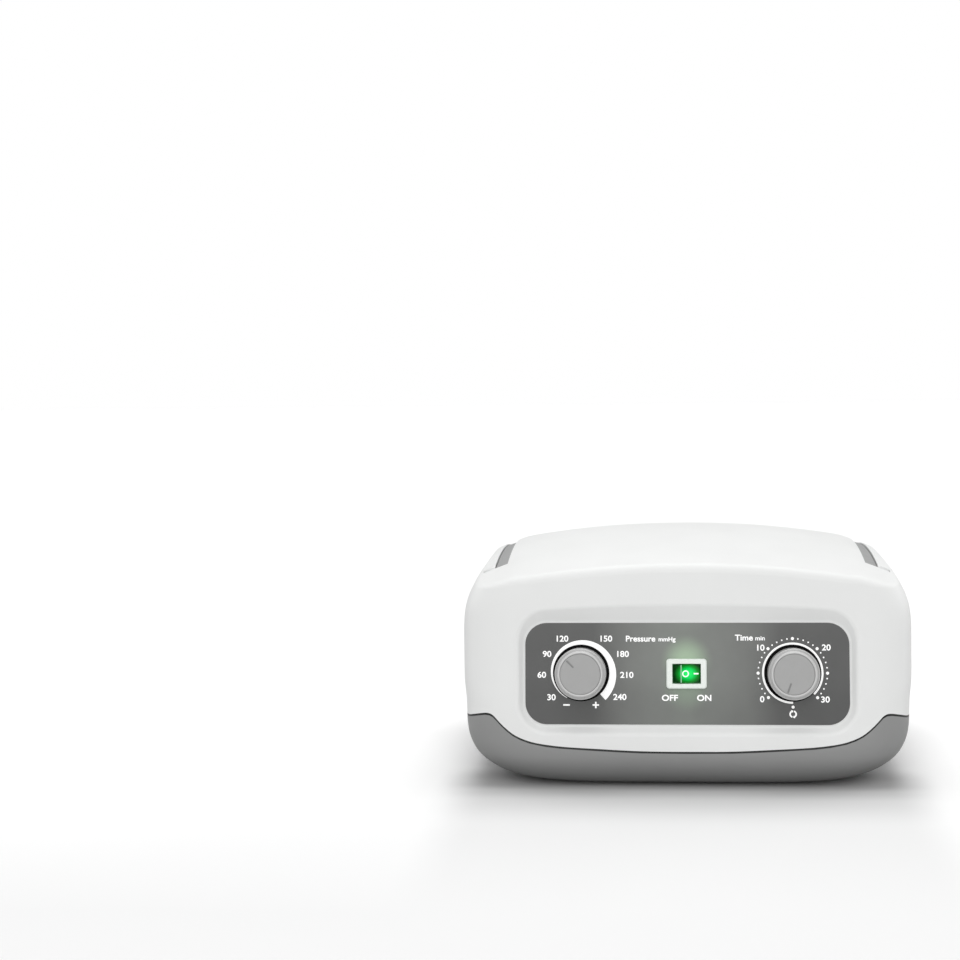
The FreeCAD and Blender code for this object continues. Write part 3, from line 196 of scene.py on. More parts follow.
def moulded(name, base, rough, grain=2600.0, grain_depth=0.000012, coat=0.0, vary=0.03):
    """Injection-moulded plastic: a fine spark-eroded grain, slow tone changes and handling marks in the gloss."""
    m = Mat(name, base, rough, coat=coat, coat_rough=0.18)
    tone = m.noise(14.0, 4.0)
    m.colour(m.ramp(tone, [(0.3, shade(base, 1 - vary)), (0.7, shade(base, 1 + vary * 0.5))]))
    wear = m.noise(55.0, 5.0, 0.65)
    m.roughness(m.remap(wear, 0.35, 0.7, rough - 0.04, rough + 0.07))
    m.bump(m.noise(grain, 2.0, 0.5), 0.35, grain_depth)
    m.bump(m.noise(9.0, 2.0, 0.4), 0.20, 0.00035)
    return m


WHITE = (0.845, 0.852, 0.845)
GREY = (0.282, 0.284, 0.282)

abs_white = moulded("abs_white", WHITE, 0.50, coat=0.0)
abs_grey = moulded("abs_grey", GREY, 0.48, vary=0.05)
# painted shade: the tray's colour is darkened towards its foot, standing in for the shade near the floor
_gz = abs_grey.remap(abs_grey.axis()[2], 0.002, 0.024, 0.0, 1.0)
_foot_painted_shade = abs_grey.ramp(_gz, [(0.0, (0.54, 0.54, 0.54)), (0.18, (0.63, 0.63, 0.63)), (0.30, (0.70, 0.70, 0.70)), (0.46, (0.82, 0.82, 0.82)), (0.66, (0.94, 0.94, 0.94)), (1.0, (1.0, 1.0, 1.0))])
_gb = abs_grey.p.inputs["Base Color"].links[0].from_socket
_grey_foot_shaded = abs_grey.mix(1.0, _gb, _foot_painted_shade, "MULTIPLY")
# painted shadow: the top edge of the tray, where it lies in the joint under the upper shell, is painted near black for
# the shadow in that joint; SEAM is the height of the joint over half the width
SEAM = [(0, 20.1), (24, 20.3), (36, 20.8), (49, 21.5), (66, 22.5), (74, 23.4), (82, 24.9), (87, 26.6), (91, 28.6), (94, 30.8),
        (97, 33.4), (99.5, 35.9), (101.5, 37.8), (103.5, 38.7), (106, 38.7), (109, 38.0), (112, 37.1), (115, 35.9), (118, 34.8), (122, 34.0)]
_ga = abs_grey.axis()
_gh = abs_grey.ramp(abs_grey.remap(abs_grey.math("ABSOLUTE", _ga[0]), 0.0, 0.122, 0.0, 1.0),
                    [(x / 122.0, ((z - 15.0) / 30.0,) * 3) for x, z in SEAM])
_gh = abs_grey.math("SUBTRACT", abs_grey.math("MULTIPLY_ADD", _gh, 0.030, 0.015), _ga[2])
_joint_painted_shadow = abs_grey.remap(_gh, 0.00095, 0.00118, 1.0, 0.0)
abs_grey.colour(abs_grey.mix(_joint_painted_shadow, _grey_foot_shaded, (0.006, 0.006, 0.006)))
lining_grey = moulded("lining_grey", (0.36, 0.363, 0.362), 0.45, vary=0.05)
rear_grey = moulded("rear_grey", (0.30, 0.302, 0.302), 0.47, grain=1500.0, grain_depth=0.00003, vary=0.05)
manifold_grey = moulded("manifold_grey", (0.19, 0.192, 0.195), 0.40, vary=0.06)
black_plastic = moulded("black_plastic", (0.022, 0.023, 0.025), 0.42, grain=1900.0, grain_depth=0.00002, vary=0.15)
# black collar under the knobs, made near black so that it also stands in for the shadow in the gap round each knob
# (partly painted shadow)
collar_black_and_shadow = moulded("collar_black", (0.005, 0.005, 0.005), 0.80, grain=5000.0, grain_depth=0.00002, vary=0.3)
collar_black_and_shadow.p.inputs["Specular IOR Level"].default_value = 0.08

# printed film of the control label: darker towards its ends, partly as painted shade round the knobs, and darker
# towards its lower edge; a faint pearl noise; a painted green halo round the switch
label_film = Mat("label_film", (0.19, 0.20, 0.195), 0.36, coat=0.10, coat_rough=0.25)
_ax = label_film.axis()
_dx = label_film.math("ABSOLUTE", _ax[0])
_tone = label_film.ramp(label_film.remap(_dx, 0.0, 0.084, 0.0, 1.0), [
    (0.0, (0.212, 0.232, 0.208)), (0.16, (0.205, 0.219, 0.202)), (0.36, (0.172, 0.180, 0.169)), (0.58, (0.086, 0.088, 0.085)), (1.0, (0.076, 0.077, 0.076))])
_low = label_film.remap(_ax[2], 0.036, 0.066, 0.80, 1.0, smooth=True)
_tone = label_film.mix(1.0, _tone, label_film.ramp(_low, [(0.0, (0.0, 0.0, 0.0)), (1.0, (1.0, 1.0, 1.0))]), "MULTIPLY")
_tone = label_film.mix(label_film.remap(label_film.noise(38.0, 3.0), 0.35, 0.7, 0.0, 0.22), _tone, (0.080, 0.080, 0.079), "MIX")
# painted light: the green light of the rocker's lamp is painted into the film's colour, a halo above the switch and a
# weaker one below it
_gx = label_film.math("MULTIPLY", _ax[0], 1.0)
_gz = label_film.math("SUBTRACT", _ax[2], 0.0665)
_gr = label_film.math("SQRT", label_film.math("ADD", label_film.math("MULTIPLY", _gx, _gx), label_film.math("MULTIPLY", _gz, _gz)))
_halo = label_film.remap(_gr, 0.002, 0.0145, 1.0, 0.0, smooth=True)
_gl = label_film.math("SUBTRACT", _ax[2], 0.0530)
_gl = label_film.math("SQRT", label_film.math("ADD", label_film.math("MULTIPLY", _gx, _gx), label_film.math("MULTIPLY", _gl, _gl)))
_tone = label_film.mix(label_film.math("MULTIPLY", label_film.remap(_gl, 0.003, 0.015, 1.0, 0.0, smooth=True), 0.42), _tone, (0.30, 0.42, 0.29))
label_film.colour(label_film.mix(label_film.math("MULTIPLY", _halo, 0.68), _tone, (0.46, 0.64, 0.43)))
label_film.roughness(label_film.remap(label_film.noise(60.0, 4.0), 0.35, 0.7, 0.33, 0.42))
label_film.bump(label_film.noise(4200.0, 2.0), 0.25, 0.00001)

print_white = Mat("print_white", (0.90, 0.90, 0.89), 0.45)
print_white.colour(print_white.ramp(print_white.noise(700.0, 3.0), [(0.35, (0.84, 0.84, 0.83)), (0.7, (0.93, 0.93, 0.925))]))
# painted light: the print is given a faint white glow of its own, though it is no lamp
print_white.p.inputs["Emission Color"].default_value = (1.0, 1.0, 1.0, 1.0)
print_white.p.inputs["Emission Strength"].default_value = 0.34


def turned(name, base, rough, metal=1.0, pitch=5200.0, depth=0.0000035, vary=0.05):
    """Metal turned on a lathe: fine rings about own z and faint arcs of tone."""
    m = Mat(name, base, rough, metal)
    r = m.radius()
    rings = m.node("ShaderNodeTexNoise")
    rings.noise_dimensions = "1D"
    rings.inputs["Scale"].default_value = pitch
    rings.inputs["Detail"].default_value = 3.0
    m.link(r, rings.inputs["W"])
    m.colour(m.ramp(rings.outputs["Fac"], [(0.3, shade(base, 1 - vary)), (0.7, shade(base, 1 + vary))]))
    m.roughness(m.remap(m.noise(240.0, 3.0), 0.3, 0.7, rough - 0.03, rough + 0.05))
    m.bump(rings.outputs["Fac"], 0.35, depth)
    return m


knob_metal = turned("knob_metal", (0.43, 0.43, 0.427), 0.50, 0.4, depth=0.0000010)
knob_face = turned("knob_face", (0.40, 0.40, 0.397), 0.55, 0.25, pitch=4200.0, depth=0.0000005, vary=0.03)
# painted highlight: a lighter copy of the knob metal for the bright rings of light on the knobs
knob_ring_painted_highlight = turned("knob_ring_painted_highlight", (0.64, 0.64, 0.635), 0.55, 0.35, depth=0.0000005, vary=0.015)
groove_grey = turned("groove_grey", (0.275, 0.275, 0.273), 0.6, 0.2, depth=0.0000005, vary=0.03)


def metal(name, base, rough, scale=900.0, stretch=(1.0, 1.0, 1.0), depth=0.000006, vary=0.08):
    m = Mat(name, base, rough, 1.0)
    n = m.noise(scale, 4.0, 0.6, stretch)
    m.colour(m.ramp(n, [(0.3, shade(base, 1 - vary)), (0.7, shade(base, 1 + vary * 0.5))]))
    m.roughness(m.remap(m.noise(130.0, 4.0), 0.3, 0.7, rough - 0.05, rough + 0.1))
    m.bump(n, 0.4, depth)
    return m


steel = metal("steel", (0.55, 0.56, 0.57), 0.30, 1400.0, (1.0, 1.0, 6.0))
aluminium = metal("aluminium", (0.62, 0.63, 0.64), 0.42, 800.0, depth=0.00002)
laminate = metal("steel_laminate", (0.22, 0.23, 0.25), 0.48, 2200.0, (0.02, 1.0, 0.02), 0.00004, 0.25)
brass = metal("brass", (0.74, 0.56, 0.24), 0.28, 1200.0, (1.0, 6.0, 1.0))
copper = metal("copper", (0.62, 0.26, 0.12), 0.32, 1100.0, (0.02, 0.02, 1.0), 0.00012, 0.2)

rubber = Mat("rubber", (0.020, 0.020, 0.021), 0.72)
rubber.colour(rubber.ramp(rubber.noise(300.0, 4.0), [(0.35, (0.015, 0.015, 0.016)), (0.7, (0.032, 0.032, 0.033))]))
rubber.bump(rubber.noise(1800.0, 3.0), 0.5, 0.00003)

# dark rubber stops in front of the handle arms: partly real pads, partly a dark piece standing in for the shadow in the
# slot before each arm
stop_rubber_and_slot_shade = Mat("stop_rubber_and_slot_shade", (0.060, 0.060, 0.062), 0.8, spec=0.2)
stop_rubber_and_slot_shade.colour(stop_rubber_and_slot_shade.ramp(stop_rubber_and_slot_shade.noise(500.0, 4.0), [(0.35, (0.050, 0.050, 0.052)), (0.7, (0.085, 0.085, 0.087))]))
stop_rubber_and_slot_shade.bump(stop_rubber_and_slot_shade.noise(2200.0, 3.0), 0.4, 0.00002)

acetal = moulded("acetal", (0.78, 0.75, 0.66), 0.36, vary=0.04)
board = Mat("board", (0.03, 0.14, 0.06), 0.38, coat=0.4)
board.colour(board.ramp(board.noise(260.0, 5.0, 0.7), [(0.42, (0.020, 0.105, 0.045)), (0.5, (0.035, 0.17, 0.075)), (0.62, (0.05, 0.21, 0.09))]))
board.bump(board.noise(900.0, 2.0), 0.4, 0.00003)
hose = Mat("pvc_hose", (0.72, 0.70, 0.63), 0.28, coat=0.25)
hose.colour(hose.ramp(hose.noise(160.0, 3.0), [(0.3, (0.66, 0.64, 0.57)), (0.7, (0.77, 0.75, 0.68))]))
hose.roughness(hose.remap(hose.noise(90.0, 3.0), 0.3, 0.7, 0.22, 0.38))
hose.bump(hose.noise(600.0, 2.0), 0.2, 0.00003)
wire = Mat("wire", (0.045, 0.046, 0.05), 0.5)
wire.colour(wire.ramp(wire.noise(420.0, 3.0), [(0.35, (0.030, 0.031, 0.034)), (0.7, (0.065, 0.066, 0.07))]))
wire.bump(wire.noise(1500.0, 2.0, 0.5, (1.0, 4.0, 4.0)), 0.5, 0.00008)

# tinted rocker, brightest in its middle where the lamp sits
rocker_green = Mat("rocker_green", (0.02, 0.40, 0.10), 0.34, coat=0.0, spec=0.12)
_r = rocker_green.radius(0.0008, 0.0, 1.0, 1.25)
_glow = rocker_green.remap(_r, 0.0006, 0.0072, 0.0, 1.0)
_col = rocker_green.ramp(_glow, [(0.0, (0.02, 0.80, 0.14)), (0.35, (0.0, 0.60, 0.09)), (0.68, (0.0, 0.20, 0.012)), (1.0, (0.0, 0.022, 0.002))])
_col = rocker_green.mix(rocker_green.remap(rocker_green.noise(900.0, 3.0), 0.35, 0.7, 0.0, 0.07), _col, (0.0, 0.30, 0.03))
rocker_green.colour(_col)
rocker_green.link(_col, rocker_green.p.inputs["Emission Color"])
rocker_green.p.inputs["Emission Strength"].default_value = 0.42
rocker_green.bump(rocker_green.noise(1400.0, 2.0), 0.15, 0.00001)

# painted light: the bezel is tinted green and given a faint green glow, standing in for the rocker lamp's light falling
# on it
bezel_white = moulded("bezel_white", (0.80, 0.83, 0.80), 0.28, coat=0.3, vary=0.02)
bezel_white.p.inputs["Emission Color"].default_value = (0.75, 1.0, 0.78, 1.0)
bezel_white.p.inputs["Emission Strength"].default_value = 0.08

FINISH = {
    "upper_shell": abs_white, "lower_shell": abs_grey, "handle_stops": stop_rubber_and_slot_shade, "carry_handle": abs_white, "handle_channel_lining": lining_grey,
    "handle_pins": steel, "control_label": label_film, "pressure_knob": knob_metal, "pressure_knob_disc": knob_face,
    "pressure_knob_shaft": steel, "timer_knob": knob_metal, "timer_knob_disc": knob_face, "timer_knob_shaft": steel,
    "knob_washers": collar_black_and_shadow, "switch_housing": bezel_white, "power_rocker": rocker_green, "switch_terminals": brass, "regulator_body": aluminium,
    "regulator_plunger": brass, "regulator_spring": steel, "timer_body": black_plastic, "rubber_feet": rubber, "case_screws": steel,
    "rear_panel": rear_grey, "rear_panel_screws": steel, "mains_inlet": black_plastic, "inlet_pins": brass,
    "fuse_holders": black_plastic, "outlet_manifold": manifold_grey, "pump_bracket": steel, "pump_core": laminate,
    "pump_coils": copper, "pump_armature": aluminium, "pump_diaphragms": rubber, "pump_heads": aluminium, "pump_isolators": rubber,
    "valve_motor": steel, "valve_rotor": acetal, "valve_body": acetal, "circuit_board": board, "board_components": black_plastic,
    "outlet_hoses": hose, "supply_hose": hose, "regulator_hose": hose, "wiring_harness": wire,
}
for name, obj in NODES.items():
    m = FINISH[name].m
    if not obj.material_slots:
        obj.data.materials.append(m)
    for s in obj.material_slots:
        s.material = m



# ------------------------------------------------------------------ mesh helpers, sizes in mm
def mesh_object(name, verts, faces, matrix=None, smooth=40.0, mat=None):
    me = bpy.data.meshes.new(name)
    me.from_pydata([tuple(c * MM for c in v) for v in verts], [], faces)
    me.validate()
    bm = bmesh.new()
    bm.from_mesh(me)
    bmesh.ops.remove_doubles(bm, verts=bm.verts, dist=1e-7)
    bmesh.ops.recalc_face_normals(bm, faces=bm.faces)
    for f in bm.faces:
        f.smooth = True
    lim = math.radians(smooth)
    for e in bm.edges:
        e.smooth = len(e.link_faces) == 2 and e.calc_face_angle(0.0) < lim
    bm.to_mesh(me)
    bm.free()
    o = bpy.data.objects.new(name, me)
    bpy.context.scene.collection.objects.link(o)
    if matrix is not None:
        o.matrix_world = matrix
    if mat is not None:
        me.materials.append(mat.m)
    return o


def lathe(name, profile, matrix, mat, seg=144, smooth=32.0):
    """A closed turned solid: profile of (radius, height) pairs that starts and ends on the axis or closes on itself."""
    verts, faces, rows = [], [], []
    for r, z in profile:
        if r < 1e-6:
            rows.append([len(verts)])
            verts.append((0.0, 0.0, z))
        else:
            rows.append(list(range(len(verts), len(verts) + seg)))
            for k in range(seg):
                a = 2 * math.pi * k / seg
                verts.append((r * math.cos(a), r * math.sin(a), z))
    closed = profile[0][0] > 1e-6
    pairs = list(zip(rows, rows[1:])) + ([(rows[-1], rows[0])] if closed else [])
    for a, b in pairs:
        for k in range(seg):
            k2 = (k + 1) % seg
            if len(a) == 1 and len(b) == 1:
                continue
            if len(a) == 1:
                faces.append((a[0], b[k2], b[k]))
            elif len(b) == 1:
                faces.append((a[k], a[k2], b[0]))
            else:
                faces.append((a[k], a[k2], b[k2], b[k]))
    return mesh_object(name, verts, faces, matrix, smooth, mat)


def flat_solid(name, loops, n0, n1, matrix, mat):
    """Closed prisms between two heights from outlines in the plane; each outline is a list of quads' corner strips."""
    verts, faces = [], []
    for outline in loops:
        k = len(outline)
        base = len(verts)
        verts += [(x, y, n0) for x, y in outline] + [(x, y, n1) for x, y in outline]
        faces.append(tuple(base + i for i in reversed(range(k))))
        faces.append(tuple(base + k + i for i in range(k)))
        for i in range(k):
            j = (i + 1) % k
            faces.append((base + i, base + j, base + k + j, base + k + i))
    return mesh_object(name, verts, faces, matrix, 30.0, mat)


def sector(cx, cy, a0, a1, inner, outer, seg=96, round_ends=False):
    """Outline of a band about cx, cy from angle a0 to a1; inner and outer give the radii at a share 0..1 of the way."""
    out, inn = [], []
    for k in range(seg + 1):
        t = k / seg
        a = math.radians(a0 + (a1 - a0) * t)
        out.append((cx + outer(t) * math.cos(a), cy + outer(t) * math.sin(a)))
        inn.append((cx + inner(t) * math.cos(a), cy + inner(t) * math.sin(a)))
    return out, inn


def band(name, cx, cy, a0, a1, inner, outer, n0, n1, matrix, mat, seg=96):
    out, inn = sector(cx, cy, a0, a1, inner, outer, seg)
    verts, faces = [], []
    for (xo, yo), (xi, yi) in zip(out, inn):
        verts += [(xi, yi, n0), (xo, yo, n0), (xo, yo, n1), (xi, yi, n1)]
    for k in range(seg):
        a, b = 4 * k, 4 * (k + 1)
        for i in range(4):
            j = (i + 1) % 4
            faces.append((a + i, a + j, b + j, b + i))
    faces.append((0, 3, 2, 1))
    e = 4 * seg
    faces.append((e, e + 1, e + 2, e + 3))
    return mesh_object(name, verts, faces, matrix, 30.0, mat)


def disc_outline(x, y, r, seg=28):
    return [(x + r * math.cos(2 * math.pi * k / seg), y + r * math.sin(2 * math.pi * k / seg)) for k in range(seg)]


def bar_outline(x, y, w, h, r=0.0, seg=4):
    if r <= 0:
        return [(x - w / 2, y - h / 2), (x + w / 2, y - h / 2), (x + w / 2, y + h / 2), (x - w / 2, y + h / 2)]
    pts = []
    for cx, cy, a0 in ((x + w / 2 - r, y - h / 2 + r, -90), (x + w / 2 - r, y + h / 2 - r, 0), (x - w / 2 + r, y + h / 2 - r, 90), (x - w / 2 + r, y - h / 2 + r, 180)):
        for k in range(seg + 1):
            a = math.radians(a0 + 90.0 * k / seg)
            pts.append((cx + r * math.cos(a), cy + r * math.sin(a)))
    return pts


def lettering(name, items, n0, thick, matrix, mat):
    """Printed characters as one thin solid piece. items: text, x, y of its centre, cap height, boldness, width factor."""
    bm = bmesh.new()
    for text, x, y, cap, bold, wide in items:
        cu = bpy.data.curves.new(name + "_glyphs", "FONT")
        cu.body = text
        cu.size = 1.0
        cu.resolution_u = 5
        cu.offset = bold
        cu.extrude = 0.5
        o = bpy.data.objects.new(name + "_glyphs", cu)
        bpy.context.scene.collection.objects.link(o)
        bpy.context.view_layer.update()
        me = bpy.data.meshes.new_from_object(o.evaluated_get(bpy.context.evaluated_depsgraph_get()))
        bpy.data.objects.remove(o)
        bpy.data.curves.remove(cu)
        co = [v.co.copy() for v in me.vertices]
        lo = Vector((min(c.x for c in co), min(c.y for c in co)))
        hi = Vector((max(c.x for c in co), max(c.y for c in co)))
        k = cap / CAP
        for v in me.vertices:
            v.co = Vector((
                (x + (v.co.x - (lo.x + hi.x) / 2) * k * wide) * MM,
                (y + (v.co.y - CAP / 2) * k) * MM,
                (n0 + (v.co.z + 0.5) * thick) * MM,
            ))
        bm.from_mesh(me)
        bpy.data.meshes.remove(me)
    bmesh.ops.remove_doubles(bm, verts=bm.verts, dist=1e-7)
    bmesh.ops.recalc_face_normals(bm, faces=bm.faces)
    me = bpy.data.meshes.new(name)
    bm.to_mesh(me)
    bm.free()
    o = bpy.data.objects.new(name, me)
    bpy.context.scene.collection.objects.link(o)
    o.matrix_world = matrix
    me.materials.append(mat.m)
    return o


def cap_height():
    cu = bpy.data.curves.new("cap", "FONT")
    cu.body = "E"
    o = bpy.data.objects.new("cap", cu)
    bpy.context.scene.collection.objects.link(o)
    bpy.context.view_layer.update()
    me = bpy.data.meshes.new_from_object(o.evaluated_get(bpy.context.evaluated_depsgraph_get()))
    h = max(v.co.y for v in me.vertices)
    bpy.data.objects.remove(o)
    bpy.data.curves.remove(cu)
    bpy.data.meshes.remove(me)
    return h


CAP = cap_height()

# ------------------------------------------------------------------ print on the control label
P0 = on_panel()
INK0, INK1 = -0.02, 0.03
KX = 55.0
arc = band("pressure_scale_arc", -KX, 0.0, 240.0, -48.0, lambda t: 14.8, lambda t: 14.8 + 0.25 + 3.9 * t, INK0, INK1, P0, print_white, 140)
ring = band("timer_scale_ring", KX, 0.0, 270.0, -45.0, lambda t: 14.8, lambda t: 15.85, INK0, INK1, P0, print_white, 140)
dots = []
for k in range(31):
    a = 225.0 - 9.0 * k
    big = k % 5 == 0
    r = 0.80 if big else 0.42
    dots.append(disc_outline(KX + 17.9 * math.cos(math.radians(a)), 17.9 * math.sin(math.radians(a)), r, 28 if big else 18))
dots.append(disc_outline(KX, -17.55, 0.78))
dots.append(bar_outline(-62.7, -16.7, 3.5, 0.85, 0.2))
dots.append(bar_outline(-47.4, -16.7, 3.4, 0.85, 0.2))
marks = flat_solid("scale_marks", dots, INK0, INK1, P0, print_white)
plus = flat_solid("plus_stroke", [bar_outline(-47.4, -16.7, 0.85, 3.4, 0.2)], INK0, INK1 + 0.004, P0, print_white)
cyc = []
for a0 in (75.0, 255.0):
    cyc.append(band("cycle_sign_%d" % a0, KX, -21.2, a0, a0 - 140.0, lambda t: 1.15, lambda t: 1.95, INK0, INK1, P0, print_white, 24))
    e = math.radians(a0 - 140.0)
    c = Vector((KX + 1.55 * math.cos(e), -21.2 + 1.55 * math.sin(e)))
    tan = Vector((math.sin(e), -math.cos(e)))
    rad = Vector((math.cos(e), math.sin(e)))
    tip, p1, p2 = c + tan * 0.85, c + rad * 0.85 - tan * 0.05, c - rad * 0.8 - tan * 0.05
    cyc.append(flat_solid("cycle_arrow_%d" % a0, [[tuple(p2), tuple(p1), tuple(tip)]], INK0, INK1 + 0.004, P0, print_white))
B = 0.022
DIG = [("120", -64.7, 17.9), ("150", -41.7, 17.9), ("90", -72.85, 9.9), ("180", -33.0, 9.9), ("60", -75.65, -1.0), ("210", -31.1, -1.0),
       ("30", -70.6, -12.7), ("240", -34.8, -12.5), ("10", 38.65, 13.2), ("20", 72.4, 13.3), ("0", 39.1, -13.5), ("30", 71.7, -13.6)]
numbers = lettering("scale_numbers", [(t, x, y, 2.95, B, 1.08) for t, x, y in DIG], INK0, INK1 - INK0, P0, print_white)
words = lettering("switch_words", [("OFF", -8.7, -12.9, 2.95, B * 1.15, 1.12), ("ON", 9.1, -12.9, 2.95, B * 1.15, 1.12)], INK0, INK1 - INK0, P0, print_white)
titles = lettering("dial_words", [("Pressure", -23.8, 17.9, 2.9, B, 1.04), ("mmHg", -10.0, 17.6, 2.15, B * 1.0, 1.05),
                                  ("Time", 29.9, 18.4, 2.9, B, 1.06), ("min", 38.3, 18.1, 2.15, B * 1.0, 1.1)], INK0, INK1 - INK0, P0, print_white)
for o in [arc, ring, marks, plus, numbers, words, titles] + cyc:
    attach(o, "case")

# ------------------------------------------------------------------ knobs
for which, side, turn in (("pressure", -1.0, 135.0), ("timer", 1.0, 250.0)):
    body = which + "_dial"
    M = on_panel(side * KX, 0.0, 0.0, turn)
    # the collar's near-black partly paints the shadow in the gap round the knob
    collar = lathe(which + "_knob_collar", [(5.2, 0.02), (14.65, 0.02), (14.75, 0.08), (14.75, 0.5), (14.65, 0.62), (5.2, 0.62)], M, collar_black_and_shadow)
    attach(collar, "case")
    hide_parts("knob_washers")
    grip = lathe(which + "_knob_grip", [
        (3.2, 0.85), (13.0, 0.85), (13.2, 1.0), (13.26, 1.3), (13.30, 10.4), (13.26, 10.8), (13.12, 11.06), (12.88, 11.24), (12.66, 11.30),
        (12.2, 11.38), (11.98, 11.46), (11.86, 11.60), (11.72, 11.86), (11.50, 12.08), (11.22, 12.19), (10.95, 12.18), (10.74, 12.06),
        (10.58, 11.88), (10.50, 11.70), (10.2, 11.65), (3.2, 11.65),
    ], M, knob_metal, smooth=50)
    # painted highlight: the lighter metal goes on the bead round the face and on a band at the rim's outer edge, where
    # bright rings of reflected light fall
    grip.data.materials.append(knob_ring_painted_highlight.m)
    for p in grip.data.polygons:
        c = p.center / MM
        r = math.hypot(c.x, c.y)
        if (c.z > 11.5 and 10.55 < r < 11.93) or (12.9 < r and 10.8 < c.z < 11.2):
            p.material_index = 1
    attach(grip, body)
    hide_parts(which + "_knob")
    # turned face with an indicator groove: a disc whose flat top is cut by a slot from r 5.2 to 9.9
    seg, R = 180, 10.38
    verts, faces = [], []
    prof = [(R, 11.66), (R, 11.98), (R - 0.08, 12.10), (R - 0.22, 12.14)]
    for r_, z_ in prof:
        for k in range(seg):
            a = 2 * math.pi * k / seg
            verts.append((r_ * math.cos(a), r_ * math.sin(a), z_))
    for q in range(len(prof) - 1):
        for k in range(seg):
            k2 = (k + 1) % seg
            faces.append((q * seg + k, q * seg + k2, (q + 1) * seg + k2, (q + 1) * seg + k))
    faces.append(tuple(reversed(range(seg))))
    top = [(len(prof) - 1) * seg + k for k in range(seg)]
    faces.append(tuple(top))
    face = mesh_object(which + "_knob_face", verts, faces, M, 30.0, knob_face)
    cutter = flat_solid("cutter", [bar_outline(7.4, 0.0, 5.2, 0.95, 0.45, 6)], 11.90, 12.6, M, knob_face)
    md = face.modifiers.new("groove", "BOOLEAN")
    md.object = cutter
    md.operation = "DIFFERENCE"
    md.solver = "EXACT"
    bpy.context.view_layer.update()
    me = bpy.data.meshes.new_from_object(face.evaluated_get(bpy.context.evaluated_depsgraph_get()))
    face.modifiers.clear()
    old = face.data
    face.data = me
    me.name = which + "_knob_face"
    me.materials.append(groove_grey.m)
    for p in me.polygons:
        if p.normal.z > 0.995:
            p.use_smooth = False
        c = p.center / MM
        if 11.8 < c.z < 12.139 and math.hypot(c.x, c.y) < 10.15 and abs(c.y) < 0.7 and c.x > 4.5:
            p.material_index = 1
    bpy.data.meshes.remove(old)
    bpy.data.objects.remove(cutter)
    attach(face, body)
    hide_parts(which + "_knob_disc")

# ------------------------------------------------------------------ rocker with its two signs
ROCK = on_panel(0.0, -0.3, 0.0)
outline = [(-7.2, -0.2), (-6.65, 0.55), (-5.7, 1.45), (-4.8, 2.05), (-3.75, 2.46), (-3.35, 2.50), (-3.0, 2.42), (-1.6, 1.82), (0.6, 0.98), (1.4, 0.74), (2.4, 0.60),
           (4.6, 0.52), (6.3, 0.50), (6.72, 0.42), (6.95, 0.20), (7.35, -0.45), (7.9, -1.6), (4.9, -4.2), (-4.0, -4.8), (-6.2, -2.2)]
hw = 4.85
verts = [(x, -hw, z) for x, z in outline] + [(x, hw, z) for x, z in outline]
k = len(outline)
faces = [tuple(range(k)), tuple(reversed(range(k, 2 * k)))] + [(i, k + i, k + (i + 1) % k, (i + 1) % k) for i in range(k)]
rocker = mesh_object("rocker_cap", verts, faces, ROCK, 35.0, rocker_green)
bev = rocker.modifiers.new("edges", "BEVEL")
bev.width = 0.00016
bev.segments = 3
bev.limit_method = "ANGLE"
bev.angle_limit = math.radians(40)
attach(rocker, "rocker")
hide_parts("power_rocker")


def along_rocker(x):
    """Height and slope of the rocker's face at x."""
    face = [(-3.0, 2.42), (-1.6, 1.82), (0.6, 0.98), (1.4, 0.74), (2.4, 0.60), (4.6, 0.52), (6.3, 0.50)]
    for (x0, z0), (x1, z1) in zip(face, face[1:]):
        if x <= x1:
            return z0 + (z1 - z0) * (x - x0) / (x1 - x0)
    return 0.5


def rocker_sign(name, strips):
    """A sign laid on the rocker's face, following its slope: strips are rows of (x, y) pairs, inner and outer edge."""
    verts, faces = [], []
    for (xi, yi), (xo, yo) in strips:
        for x, y, h in ((xi, yi, -0.03), (xo, yo, -0.03), (xo, yo, 0.05), (xi, yi, 0.05)):
            verts.append((x, y, along_rocker(x) + h))
    m = len(strips)
    closed = strips[0] == strips[-1]
    if closed:
        verts = verts[:-4]
        m -= 1
    for q in range(m if closed else m - 1):
        a, b = 4 * q, 4 * ((q + 1) % m)
        for i in range(4):
            j = (i + 1) % 4
            faces.append((a + i, a + j, b + j, b + i))
    if not closed:
        faces.append((0, 3, 2, 1))
        e = 4 * (m - 1)
        faces.append((e, e + 1, e + 2, e + 3))
    return mesh_object(name, verts, faces, ROCK, 40.0, sign_white)


sign_white = Mat("sign_white", (0.92, 0.95, 0.92), 0.35)
sign_white.colour(sign_white.ramp(sign_white.noise(800.0, 2.0), [(0.35, (0.88, 0.93, 0.88)), (0.7, (0.95, 0.97, 0.95))]))
sign_white.p.inputs["Emission Color"].default_value = (0.80, 1.0, 0.82, 1.0)
sign_white.p.inputs["Emission Strength"].default_value = 0.35
ridge_green = Mat("ridge_green", (0.34, 0.66, 0.42), 0.4, spec=0.2)
ridge_green.colour(ridge_green.ramp(ridge_green.noise(900.0, 3.0), [(0.35, (0.28, 0.60, 0.36)), (0.7, (0.42, 0.74, 0.50))]))
ringstrip = []
for q in range(49):
    a = 2 * math.pi * (q % 48) / 48
    ringstrip.append(((-0.5 + 1.15 * math.cos(a), 1.15 * math.sin(a)), (-0.5 + 1.78 * math.cos(a), 1.78 * math.sin(a))))
ringstrip[-1] = ringstrip[0]
o_sign = rocker_sign("rocker_off_sign", ringstrip)
i_sign = rocker_sign("rocker_on_sign", [((x, -0.38), (x, 0.38)) for x in (3.75, 4.3, 4.6, 5.2, 5.8, 6.25)])
